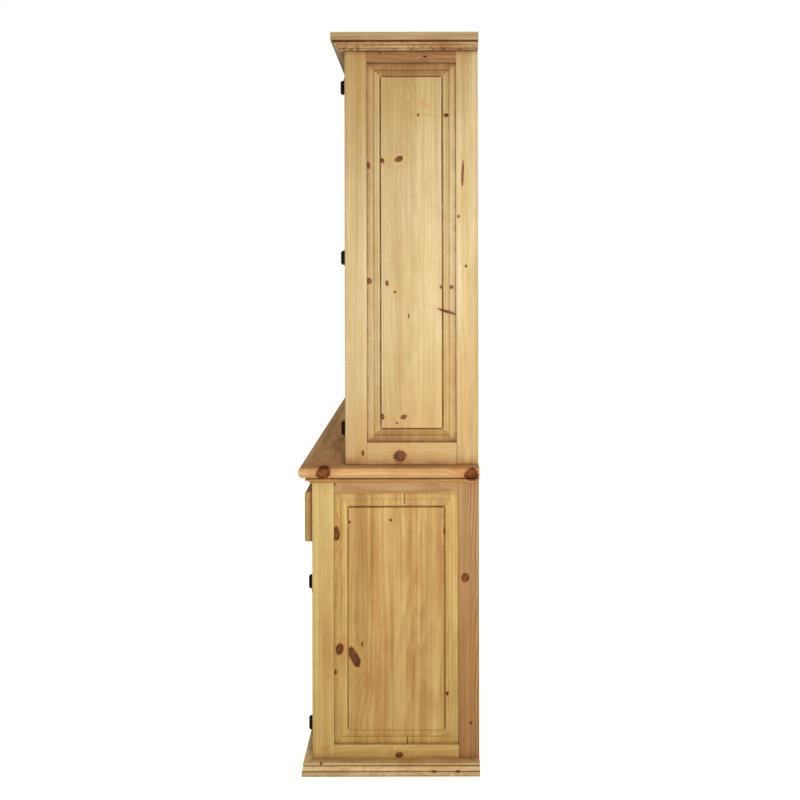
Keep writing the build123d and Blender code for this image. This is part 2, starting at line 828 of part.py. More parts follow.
def glazed_door(bay):
    """An upper door: rebated frame with beads, one pane, knob and hinge leaves."""
    opening, side = upper_bays[bay], hinge_side[bay]
    width = opening[1] - opening[0] - 2 * door_gap
    rise = upper_door_top - upper_door_bottom
    pane_back = -door_thickness + glass_rebate - glass_thickness
    slot = (-door_thickness, -door_thickness + glass_rebate)
    frame, inner_x, inner_y = door_frame(
        width, rise, upper_door_stile, upper_door_bottom_rail, upper_door_top_rail, slot, bead_width
    )
    lap = bead_width - glass_clearance
    pane = board(
        (inner_x[0] - lap, inner_x[1] + lap),
        (inner_y[0] - lap, inner_y[1] + lap),
        (pane_back, pane_back + glass_thickness),
    )
    bead_z = (-door_thickness, pane_back)
    rebate_x = (inner_x[0] - bead_width, inner_x[1] + bead_width)
    rebate_y = (inner_y[0] - bead_width, inner_y[1] + bead_width)
    beads = [
        board((rebate_x[0], inner_x[0]), rebate_y, bead_z),
        board((inner_x[1], rebate_x[1]), rebate_y, bead_z),
        board(inner_x, (rebate_y[0], inner_y[0]), bead_z),
        board(inner_x, (inner_y[1], rebate_y[1]), bead_z),
    ]
    place = door_plane(opening, upper_face_y, upper_door_bottom).location
    name = f"upper_door_{bay}"
    write(f"{name}_frame", *[place * member for member in (*frame, *beads)])
    write(f"{name}_glass", place * pane)
    knob_z = upper_door_bottom + upper_knob_rise
    write(f"{name}_knob", knob(knob_x(opening, side, upper_door_stile), upper_face_y, knob_z))
    write(f"{name}_hinge_leaves", *hung(door_leaf, upper_bays, upper_face_y, upper_hinge_heights, bay))


# ---------------------------------------------------------------- drawers


def drawer(bay):
    """An overlay drawer: moulded front, box of five boards, and a knob in the middle."""
    opening = lower_bays[bay]
    front_back = lower_face_y - drawer_front_gap
    front_x = (opening[0] - drawer_lap, opening[1] + drawer_lap)
    middle_x = (opening[0] + opening[1]) / 2
    middle_z = (drawer_front_bottom + drawer_front_top) / 2
    with BuildPart() as front:
        front_y = (front_back - drawer_front_thickness, front_back)
        add(board(front_x, front_y, (drawer_front_bottom, drawer_front_top)))
        fillet(front.faces().sort_by(Axis.Y)[0].edges(), radius=drawer_front_round)
    x = (opening[0] + drawer_side_play, opening[1] - drawer_side_play)
    y = (front_back, front_back + drawer_box_depth)
    z = (drawer_opening_bottom + drawer_lift, drawer_opening_top - drawer_top_play)
    inner_x = (x[0] + drawer_board, x[1] - drawer_board)
    inner_y = (y[0] + drawer_board, y[1] - drawer_board)
    bottom_z = (z[0] + drawer_bottom_height, z[0] + drawer_bottom_height + drawer_bottom_thickness)
    name = f"drawer_{bay}"
    write(f"{name}_front", front.part)
    write(
        f"{name}_box",
        board((x[0], inner_x[0]), y, z),
        board((inner_x[1], x[1]), y, z),
        board(inner_x, (y[0], inner_y[0]), z),
        board(inner_x, (inner_y[1], y[1]), z),
        board(inner_x, inner_y, bottom_z),
    )
    write(f"{name}_knob", knob(middle_x, front_back - drawer_front_thickness, middle_z))


for bay in BAYS:
    panelled_door(bay)
    glazed_door(bay)
    drawer(bay)

HINGED = ((lower_bays, lower_face_y, lower_hinge_heights), (upper_bays, upper_face_y, upper_hinge_heights))
DOORS = [(*row, bay) for row in HINGED for bay in BAYS]
write("hinge_case_leaves", *[leaf for door in DOORS for leaf in hung(case_leaf, *door, over_door=False)])
write("hinge_pins", *[shaft for door in DOORS for shaft in hung(pin, *door)])
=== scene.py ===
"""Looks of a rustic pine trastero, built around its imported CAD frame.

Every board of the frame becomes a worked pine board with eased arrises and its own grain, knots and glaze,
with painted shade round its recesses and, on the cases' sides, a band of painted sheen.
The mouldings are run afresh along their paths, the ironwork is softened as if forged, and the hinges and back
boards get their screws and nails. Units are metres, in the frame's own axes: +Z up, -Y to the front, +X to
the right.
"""

import logging
import math
import random
from collections.abc import Callable
from dataclasses import dataclass, field
from enum import Enum

import bmesh
import bpy
from mathutils import Matrix, Vector


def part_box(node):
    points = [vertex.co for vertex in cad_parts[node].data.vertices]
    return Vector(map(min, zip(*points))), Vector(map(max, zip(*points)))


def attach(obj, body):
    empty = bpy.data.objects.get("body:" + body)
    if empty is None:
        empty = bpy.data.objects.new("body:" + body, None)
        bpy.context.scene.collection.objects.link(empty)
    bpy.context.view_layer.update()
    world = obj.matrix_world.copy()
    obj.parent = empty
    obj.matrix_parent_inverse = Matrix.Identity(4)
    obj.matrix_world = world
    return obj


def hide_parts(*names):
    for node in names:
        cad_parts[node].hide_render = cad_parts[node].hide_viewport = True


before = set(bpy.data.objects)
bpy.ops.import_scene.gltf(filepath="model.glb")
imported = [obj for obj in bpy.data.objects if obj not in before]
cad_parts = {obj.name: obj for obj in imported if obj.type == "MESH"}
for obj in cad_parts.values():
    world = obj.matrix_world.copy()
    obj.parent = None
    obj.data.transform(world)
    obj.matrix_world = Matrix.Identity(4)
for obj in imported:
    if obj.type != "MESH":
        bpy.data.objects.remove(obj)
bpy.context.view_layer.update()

log = logging.getLogger("trastero")

Socket = bpy.types.NodeSocket
Colour = tuple[float, float, float]
Triangle = tuple[Vector, Vector, Vector]

WHITE: Colour = (1.0, 1.0, 1.0)
# Points nearer than MERGE are one, a point within FLUSH of a plane lies on it, and corners of neighbouring
# triangles agree to so many DIGITS
MERGE = 2e-6
FLUSH = 1e-6
DIGITS = 6


def srgb(red: int, green: int, blue: int) -> Colour:
    """Linear colour of an 8-bit sRGB colour.

    Args:
        red: its red, from 0 to 255.
        green: its green.
        blue: its blue.

    Returns:
        The linear colour.
    """
    shares = [value / 255 for value in (red, green, blue)]
    return tuple(c / 12.92 if c <= 0.04045 else ((c + 0.055) / 1.055) ** 2.4 for c in shares)


class Axis(Enum):
    """The axes of the frame."""

    X = 0
    Y = 1
    Z = 2


class Mark(str, Enum):
    """Names of the attributes that the pieces carry for their finish and their making."""

    BOARD = "board"
    TONE = "tone"
    END = "end_grain"
    AIM = "aim"
    OUTWARD = "outward"
    MITRE = "mitre"
    SHIFT = "shift"


class Slot(str, Enum):
    """Names of the material slots that new pieces are passed with; only PANEL changes what is built."""

    FRAME = "pine_frame"
    PANEL = "pine_panel"
    MOULDING = "pine_moulding"
    COUNTER = "pine_counter"
    BOARDS = "pine_boards"
    IRON = "black_iron"


class Tier(str, Enum):
    """The two cases, one upon the other."""

    LOWER = "lower"
    UPPER = "upper"


class Bay(str, Enum):
    """The three bays of doors and drawers."""

    LEFT = "left"
    CENTRE = "centre"
    RIGHT = "right"


# ------------------------------------------------------------------------------------------ node building


class Graph:
    """Short ways to add and join nodes in one node tree."""

    def __init__(self, tree: bpy.types.NodeTree) -> None:
        """Start on a tree.

        Args:
            tree: the node tree to build in.
        """
        self.tree = tree

    def add(self, kind: str, **settings: object) -> bpy.types.Node:
        """Add a node.

        Args:
            kind: the node's Blender type.
            settings: properties to set on it.

        Returns:
            The node.
        """
        node = self.tree.nodes.new(kind)
        for name, value in settings.items():
            setattr(node, name, value)
        return node

    def feed(self, socket: Socket, value: object) -> None:
        """Link a socket to an input, or set the input's own value.

        Args:
            socket: the input.
            value: another socket, or a plain value.
        """
        if isinstance(value, bpy.types.NodeSocket):
            self.tree.links.new(value, socket)
        elif value is not None:
            socket.default_value = (*value, 1.0) if socket.type == "RGBA" else value

    def fill(self, node: bpy.types.Node, **inputs: object) -> bpy.types.Node:
        """Feed a node's inputs by name.

        Args:
            node: the node.
            inputs: values or sockets by input name, with underscores for spaces.

        Returns:
            The node.
        """
        for name, value in inputs.items():
            self.feed(node.inputs[name.replace("_", " ")], value)
        return node

    def math(self, operation: str, *values: object, clamp: bool = False) -> Socket:
        """A Math node.

        Args:
            operation: Blender's name of the operation.
            values: its inputs.
            clamp: whether the result stays within 0 and 1.

        Returns:
            The result.
        """
        node = self.add("ShaderNodeMath", operation=operation, use_clamp=clamp)
        for socket, value in zip(node.inputs, values):
            self.feed(socket, value)
        return node.outputs[0]

    def times(self, first: object, *others: object) -> Socket:
        """The product of several values.

        Args:
            first: the first value.
            others: the other values.

        Returns:
            The product.
        """
        for other in others:
            first = self.math("MULTIPLY", first, other)
        return first

    def plus(self, first: object, *others: object) -> Socket:
        """The sum of several values.

        Args:
            first: the first value.
            others: the other values.

        Returns:
            The sum.
        """
        for other in others:
            first = self.math("ADD", first, other)
        return first

    def vector(self, operation: str, *values: object) -> Socket:
        """A Vector Math node.

        Args:
            operation: Blender's name of the operation.
            values: its inputs.

        Returns:
            The resulting vector, or the value of LENGTH.
        """
        node = self.add("ShaderNodeVectorMath", operation=operation)
        inputs = [s for s in node.inputs if s.name != "Scale"]
        if operation == "SCALE":
            inputs = [node.inputs[0], node.inputs["Scale"]]
        for socket, value in zip(inputs, values):
            self.feed(socket, value)
        return node.outputs["Value" if operation == "LENGTH" else "Vector"]

    def split(self, vector: Socket) -> list[Socket]:
        """The three parts of a vector.

        Args:
            vector: the vector.

        Returns:
            Its x, y and z.
        """
        node = self.add("ShaderNodeSeparateXYZ")
        self.feed(node.inputs[0], vector)
        return list(node.outputs)

    def combine(self, x: object, y: object, z: object) -> Socket:
        """A vector of three values.

        Args:
            x: the first value.
            y: the second value.
            z: the third value.

        Returns:
            The vector.
        """
        node = self.add("ShaderNodeCombineXYZ")
        for socket, value in zip(node.inputs, (x, y, z)):
            self.feed(socket, value)
        return node.outputs[0]

    def noise(self, vector: Socket, scale: object, detail: float = 2.0, rough: float = 0.5) -> Socket:
        """A Noise texture.

        Args:
            vector: where it is read.
            scale: its scale, or three scales along the axes.
            detail: its octaves.
            rough: how strong the finer octaves are.

        Returns:
            Its value, about 0.5 on average.
        """
        if isinstance(scale, tuple):
            vector, scale = self.vector("MULTIPLY", vector, scale), 1.0
        node = self.add("ShaderNodeTexNoise")
        return self.fill(node, Vector=vector, Scale=scale, Detail=detail, Roughness=rough).outputs["Fac"]

    def step(
        self, value: Socket, low: object, high: object, start: object = 0.0, end: object = 1.0
    ) -> Socket:
        """A smooth step between two values.

        Args:
            value: what is stepped.
            low: where the step starts.
            high: where it ends.
            start: the result below low.
            end: the result above high.

        Returns:
            The stepped value.
        """
        node = self.add("ShaderNodeMapRange", interpolation_type="SMOOTHSTEP")
        self.fill(node, Value=value, From_Min=low, From_Max=high, To_Min=start, To_Max=end)
        return node.outputs[0]

    def mix(self, factor: object, first: object, second: object, blend: str = "MIX") -> Socket:
        """Two colours mixed.

        Args:
            factor: how much of the second shows.
            first: the first colour.
            second: the second colour.
            blend: the way that they are mixed.

        Returns:
            The mixed colour.
        """
        node = self.add("ShaderNodeMix", data_type="RGBA", blend_type=blend)
        colours = [s for s in node.inputs if s.type == "RGBA"]
        self.feed(node.inputs[0], factor)
        for socket, value in zip(colours, (first, second)):
            self.feed(socket, value)
        return next(s for s in node.outputs if s.type == "RGBA")

    def tint(self, colour: object, filter_colour: object) -> Socket:
        """A colour seen through another."""
        return self.mix(1.0, colour, filter_colour, "MULTIPLY")

    def shade(self, colour: Socket, light: Socket) -> Socket:
        """A colour made lighter or darker by a value."""
        return self.tint(colour, self.combine(light, light, light))

    def seen(self) -> Socket:
        """1 for what the camera sees, also through glass, and 0 for all other light."""
        path = self.add("ShaderNodeLightPath").outputs
        return self.math("MAXIMUM", path["Is Camera Ray"], path["Is Transmission Ray"])

    def bump(self, height: Socket, distance: float, strength: float = 0.7) -> Socket:
        """A normal that follows a height.

        Args:
            height: the height.
            distance: how far a height of 1 stands out.
            strength: how much of the relief shows.

        Returns:
            The normal.
        """
        node = self.add("ShaderNodeBump")
        return self.fill(node, Distance=distance, Strength=strength, Height=height).outputs["Normal"]

    def carried(self, mark: Mark, kind: str) -> Socket:
        """The value of a piece's own attribute, in a Geometry Nodes tree.

        Args:
            mark: the attribute's name.
            kind: FLOAT or FLOAT_VECTOR.

        Returns:
            The value.
        """
        node = self.add("GeometryNodeInputNamedAttribute", data_type=kind)
        node.inputs["Name"].default_value = mark.value
        return node.outputs["Attribute"]

    def finished(self, geometry: Socket, finish: Socket) -> Socket:
        """A geometry made real and given its material, which ends a Geometry Nodes tree.

        Args:
            geometry: the geometry, with its instances.
            finish: its material.

        Returns:
            The finished geometry.
        """
        real = self.fill(self.add("GeometryNodeRealizeInstances"), Geometry=geometry).outputs["Geometry"]
        dressed = self.fill(self.add("GeometryNodeSetMaterial"), Geometry=real, Material=finish)
        return dressed.outputs["Geometry"]

    def group(self, tree: bpy.types.NodeTree, **inputs: object) -> dict[str, Socket]:
        """Place a shared group.

        Args:
            tree: the group's tree.
            inputs: values or sockets by input name, with underscores for spaces.

        Returns:
            The group's outputs by name.
        """
        node = self.fill(self.add("ShaderNodeGroup", node_tree=tree), **inputs)
        return {socket.name: socket for socket in node.outputs}


KINDS = {
    float: "NodeSocketFloat", int: "NodeSocketInt", Vector: "NodeSocketVector", tuple: "NodeSocketColor",
    bpy.types.Material: "NodeSocketMaterial", bpy.types.Object: "NodeSocketObject",
    bpy.types.Mesh: "NodeSocketGeometry",
}


def new_tree(
    name: str, kind: str, inputs: dict[str, object], outputs: dict[str, type]
) -> tuple[Graph, dict[str, Socket], bpy.types.Node]:
    """Start a node tree with named inputs and outputs.

    Args:
        name: the tree's name.
        kind: the tree's Blender type.
        inputs: default values by input name, or bare types for inputs that have none.
        outputs: types by output name.

    Returns:
        The graph, the input sockets by name, and the output node.
    """
    tree = bpy.data.node_groups.new(name, kind)
    for label, value in inputs.items():
        bare = isinstance(value, type)
        socket = tree.interface.new_socket(
            label, in_out="INPUT", socket_type=KINDS[value if bare else type(value)]
        )
        if not bare:
            socket.default_value = (*value, 1.0) if isinstance(value, tuple) else value
    for label, value in outputs.items():
        tree.interface.new_socket(label, in_out="OUTPUT", socket_type=KINDS[value])
    graph = Graph(tree)
    given = graph.add("NodeGroupInput")
    result = graph.add("NodeGroupOutput")
    return graph, {label: given.outputs[label] for label in inputs}, result


def new_material(name: str) -> tuple[bpy.types.Material, Graph, bpy.types.Node, Socket]:
    """Start a material.

    Args:
        name: its name.

    Returns:
        The material, its graph, its shader, and the point being shaded in object coordinates.
    """
    material = bpy.data.materials.new(name)
    material.use_nodes = True
    g = Graph(material.node_tree)
    shader = material.node_tree.nodes["Principled BSDF"]
    return material, g, shader, g.add("ShaderNodeTexCoord").outputs["Object"]


class Effects:
    """The shader groups that several finishes share, each built once."""

    STRAY_CELL = (2.6, 8.0, 0.0)
    FAR_OFF = 50.0
    PITH_DEPTH = 0.055
    PALE_BOARD: Colour = (1.08, 1.10, 1.10)
    RUDDY_BOARD: Colour = (0.66, 0.50, 0.51)
    END_STAIN_AND_SHADE: Colour = (0.66, 0.52, 0.38)
    RESIN: Colour = (1.0, 0.86, 0.62)
    GLOW: Colour = (1.15, 1.1, 1.0)
    KNOT_RIM: Colour = (0.28, 0.26, 0.26)

    def __init__(self) -> None:
        """Build the groups."""
        self.stray_knots = self._stray_knots()
        self.knot_figure = self._knot_figure()
        self.pine = self._pine()
        # The glaze group also paints shade round recesses, along with the glaze
        self.glaze = self._glaze_and_shade()
        self.handling = self._handling()
        self.forged = self._forged()

    def _stray_knots(self) -> bpy.types.NodeTree:
        """Knots strewn over the boards by chance.

        Returns:
            A group that gives how far a point lies from the nearest knot, in that knot's own radii.
        """
        g, i, out = new_tree(
            "Stray knots", "ShaderNodeTree", {"Board": Vector(), "Share": 0.3}, {"Spread": float}
        )
        cells = g.add("ShaderNodeTexVoronoi", voronoi_dimensions="2D", feature="F1")
        stretched = g.vector("MULTIPLY", i["Board"], self.STRAY_CELL)
        g.fill(cells, Vector=stretched, Scale=1.0)
        along, across, _ = g.split(g.vector("SUBTRACT", stretched, cells.outputs["Position"]))
        luck, girth, _ = g.split(cells.outputs["Color"])
        half = g.plus(g.times(girth, 0.055), 0.02)
        a = g.math("DIVIDE", across, half)
        b = g.math("DIVIDE", along, g.times(half, 0.36))
        spread = g.vector("LENGTH", g.combine(a, b, 0.0))
        missing = g.times(g.math("GREATER_THAN", luck, i["Share"]), self.FAR_OFF)
        g.fill(out, Spread=g.plus(spread, missing))
        return g.tree

    def _knot_figure(self) -> bpy.types.NodeTree:
        """What a knot does to the wood: a dark heart and rim, a pale ring, a stain and bent grain.

        Returns:
            A group that gives each of these as a mask.
        """
        g, i, out = new_tree(
            "Knot figure", "ShaderNodeTree", {"Point": Vector(), "Spread": self.FAR_OFF},
            {"Core": float, "Rim": float, "Halo": float, "Stain": float, "Bend": float},
        )
        ragged = g.math("SUBTRACT", g.noise(i["Point"], 150.0, 3.0, 0.6), 0.5)
        spread = g.plus(i["Spread"], g.times(ragged, 0.7))
        uneven = g.step(g.noise(i["Point"], 45.0, 1.0), 0.35, 0.65, 0.25, 1.0)
        rim = g.times(g.step(spread, 0.45, 0.95), g.step(spread, 0.98, 1.22, 1.0, 0.0), uneven)
        halo = g.times(g.step(spread, 1.0, 1.25), g.step(spread, 1.5, 2.4, 1.0, 0.0))
        stain = g.times(g.step(spread, 1.0, 3.0, 1.0, 0.0), g.plus(g.times(uneven, 0.5), 0.5))
        bend = g.math("EXPONENT", g.times(spread, spread, -0.16))
        g.fill(
            out, Core=g.step(spread, 0.84, 1.06, 1.0, 0.0), Rim=rim, Halo=halo, Stain=stain, Bend=bend
        )
        return g.tree

    def _pine(self) -> bpy.types.NodeTree:
        """Flat-sawn pine: growth rings round a pith behind the board, fibres, streaks and patches of tone.

        Returns:
            A group that gives colour, roughness and height from a board's own coordinates.
        """
        g, i, out = new_tree(
            "Pine", "ShaderNodeTree",
            {
                "Board": Vector(), "Tone": 0.3, "End grain": 0.0, "Core": 0.0, "Rim": 0.0, "Halo": 0.0,
                "Stain": 0.0, "Bend": 0.0, "Ring spacing": 0.007, "Figure": 0.4, "Streaks": 1.0,
                "Cross stain": 0.6, "Early wood": (0.5, 0.3, 0.1), "Late wood": (0.4, 0.2, 0.1),
                "Heartwood": (0.4, 0.2, 0.08), "Knot wood": (0.1, 0.04, 0.02),
            },
            {"Colour": tuple, "Roughness": float, "Height": float},
        )
        board = i["Board"]
        along, across, through = g.split(board)
        slow = g.math("SUBTRACT", g.noise(board, (0.9, 7.0, 3.0), 2.0), 0.5)
        wave = g.math("SUBTRACT", g.noise(board, (5.0, 30.0, 12.0), 2.0), 0.5)
        depth = g.plus(through, self.PITH_DEPTH, g.times(along, 0.03))
        radius = g.vector("LENGTH", g.combine(across, depth, 0.0))
        radius = g.plus(radius, g.times(slow, 0.06), g.times(wave, 0.009), g.times(i["Bend"], 0.012))
        phase = g.math("FRACT", g.math("DIVIDE", radius, i["Ring spacing"]))
        late = g.times(g.step(phase, 0.2, 0.88), g.step(phase, 0.92, 1.0, 1.0, 0.0))
        patchy = g.noise(board, (1.3, 12.0, 6.0), 3.0)
        late = g.times(late, g.step(patchy, 0.32, 0.68, 0.3, 1.0))
        fibre = g.noise(board, (10.0, 800.0, 400.0), 3.0, 0.6)
        streak = g.noise(board, (1.5, 150.0, 60.0), 3.0, 0.62)
        band = g.noise(board, (0.9, 34.0, 14.0), 3.0, 0.55)
        warmth = g.noise(g.vector("ADD", board, (3.0, 7.0, 1.0)), (2.6, 13.0, 6.0), 3.0, 0.6)
        mottle = g.noise(board, (16.0, 22.0, 22.0), 3.0, 0.6)

        ruddy = g.mix(i["Tone"], self.PALE_BOARD, self.RUDDY_BOARD)
        strength = g.times(i["Figure"], g.plus(g.times(i["Tone"], 1.1), 0.8))
        colour = g.mix(g.times(late, strength), i["Early wood"], i["Late wood"])
        colour = g.tint(colour, ruddy)
        colour = g.mix(g.times(g.step(warmth, 0.45, 0.75, 0.0, 0.55), i["Streaks"]), colour, i["Heartwood"])
        light = g.step(streak, 0.25, 0.75, 0.88, 1.10)
        light = g.times(light, g.step(band, 0.28, 0.72, 0.86, 1.12), g.step(fibre, 0.2, 0.8, 0.92, 1.07))
        light = g.times(light, g.step(mottle, 0.25, 0.75, 0.95, 1.05))
        light = g.plus(1.0, g.times(g.math("SUBTRACT", light, 1.0), i["Streaks"]))
        warm = g.combine(g.math("POWER", light, 0.75), light, g.math("POWER", light, 1.5))
        colour = g.tint(colour, warm)
        # End grain drinks more stain; on the panels' top and bottom borders, which count as end grain, this
        # also paints the shade that falls on their slopes
        end_darkening = g.times(i["End grain"], i["Cross stain"])
        colour = g.tint(colour, g.mix(end_darkening, WHITE, self.END_STAIN_AND_SHADE))
        pale = g.math("SUBTRACT", 1.0, g.times(i["Tone"], 0.9), clamp=True)
        colour = g.mix(g.times(i["Stain"], pale, 0.75), colour, g.tint(i["Heartwood"], self.RESIN))
        colour = g.mix(g.times(i["Halo"], pale, 0.3), colour, g.tint(i["Early wood"], self.GLOW))
        burl = g.noise(board, (70.0, 95.0, 95.0), 5.0, 0.68)
        heart = g.shade(i["Knot wood"], g.step(burl, 0.36, 0.64, 0.4, 1.3))
        colour = g.mix(g.times(i["Core"], 0.95), colour, heart)
        colour = g.mix(g.times(i["Rim"], 0.9), colour, g.tint(i["Knot wood"], self.KNOT_RIM))
        rough = g.plus(0.46, g.times(fibre, 0.12), g.times(i["End grain"], 0.1), g.times(i["Core"], -0.05))
        knotted = g.times(i["Core"], 0.25)
        relief = g.plus(g.times(late, 0.3), g.times(fibre, 0.3), knotted, g.times(i["Rim"], -0.6))
        g.fill(out, Colour=colour, Roughness=rough, Height=relief)
        return g.tree

    def _glaze_and_shade(self) -> bpy.types.NodeTree:
        """Dark antiquing glaze, left where a cloth doesn't reach, together with painted shade: lines in the
        quirks, and soft brown round them that paints the shade of the recesses.

        Returns:
            A group that gives the masks of the lines and of the soft brown, which is partly glaze and partly
            painted shade.
        """
        g, i, out = new_tree(
            "Glaze", "ShaderNodeTree",
            {"Point": Vector(), "Near": 1.0, "Wide": 1.0, "Strength": 1.0, "Mottle": 0.0},
            {"Line": float, "Soft": float},
        )
        broken = g.noise(i["Point"], 34.0, 3.0)
        near = g.math("SUBTRACT", 1.0, i["Near"])
        wide = g.math("SUBTRACT", 1.0, i["Wide"])
        patchy = g.step(g.noise(i["Point"], 4.0, 2.0), 0.3, 0.65, 0.6, 1.1)
        line = g.times(g.step(near, 0.30, 0.62), g.step(broken, 0.2, 0.6, 0.7, 1.0), i["Strength"], patchy)
        # Painted shade: the soft brown darkens wood within the wide reach of other surfaces, as a recess's
        # shade would, along with the glaze there
        soft = g.times(g.step(wide, 0.05, 0.48), g.step(broken, 0.25, 0.7, 0.5, 1.0), i["Strength"])
        dabs = g.step(g.noise(i["Point"], 70.0, 4.0, 0.65), 0.47, 0.62)
        dabs = g.times(dabs, g.step(wide, 0.02, 0.2), i["Mottle"])
        g.fill(out, Line=g.math("MINIMUM", line, 1.0), Soft=g.math("MAXIMUM", soft, dabs))
        return g.tree

    def _handling(self) -> bpy.types.NodeTree:
        """Years of use: shallow dents, small scratches and the rub of hands.

        Returns:
            A group that gives their height and a mask of rubbed places.
        """
        g, i, out = new_tree(
            "Handling", "ShaderNodeTree", {"Point": Vector(), "Dents": 1.0}, {"Height": float, "Rub": float}
        )
        broad = g.noise(i["Point"], 14.0, 2.0)
        pits = g.step(g.noise(i["Point"], 230.0, 1.0), 0.74, 0.82, 0.0, -0.5)
        dents = g.step(g.noise(i["Point"], 40.0, 1.0), 0.62, 0.90, 0.0, -1.6)
        scratch = g.step(g.noise(i["Point"], (60.0, 9.0, 300.0), 2.0), 0.72, 0.78, 0.0, -0.15)
        height = g.times(g.plus(g.times(broad, 1.6), pits, dents, scratch), i["Dents"])
        g.fill(out, Height=height, Rub=g.step(g.noise(i["Point"], 7.0, 3.0, 0.6), 0.35, 0.7))
        return g.tree

    def _forged(self) -> bpy.types.NodeTree:
        """The skin of forged iron: overlapping hammer marks, scale and rubbed high spots.

        Returns:
            A group that gives a mask of worn places and the height of the marks.
        """
        g, i, out = new_tree(
            "Forged skin", "ShaderNodeTree", {"Point": Vector(), "Mark size": 0.005},
            {"Worn": float, "Height": float},
        )
        scale = g.math("DIVIDE", 1.0, i["Mark size"])
        cells = g.fill(g.add("ShaderNodeTexVoronoi", feature="SMOOTH_F1"), Vector=i["Point"], Scale=scale)
        marks = cells.outputs["Distance"]
        crust = g.noise(i["Point"], g.times(scale, 2.6), 4.0, 0.65)
        worn = g.times(g.step(crust, 0.48, 0.7), g.step(marks, 0.2, 0.7))
        g.fill(out, Worn=worn, Height=g.plus(marks, g.times(crust, 0.35)))
        return g.tree


# ------------------------------------------------------------------------------------------ finishes


@dataclass(frozen=True)
class Knot:
    """A knot that shows on the cabinet's right side, by its centre, half sizes and lean in degrees.

    A faint one has no dark heart.
    """

    y: float
    z: float
    half_width: float
    half_height: float
    lean: float = 0.0
    faint: float = 0.0

    def spread(self, g: Graph, point: Socket, face: float, depth: float = 0.06) -> Socket:
        """How far a point lies from the knot, in the knot's own radii.

        Args:
            g: the graph to build in.
            point: the point.
            face: the x of the surface that the knot shows on.
            depth: how far the knot reaches into the board.

        Returns:
            The distance.
        """
        place = g.add("ShaderNodeMapping", vector_type="TEXTURE")
        turn = (math.radians(self.lean), 0.0, 0.0)
        size = (depth, self.half_width, self.half_height)
        g.fill(place, Vector=point, Location=(face, self.y, self.z), Rotation=turn, Scale=size)
        away = g.vector("LENGTH", place.outputs[0])
        return g.plus(away, self.faint) if self.faint else away


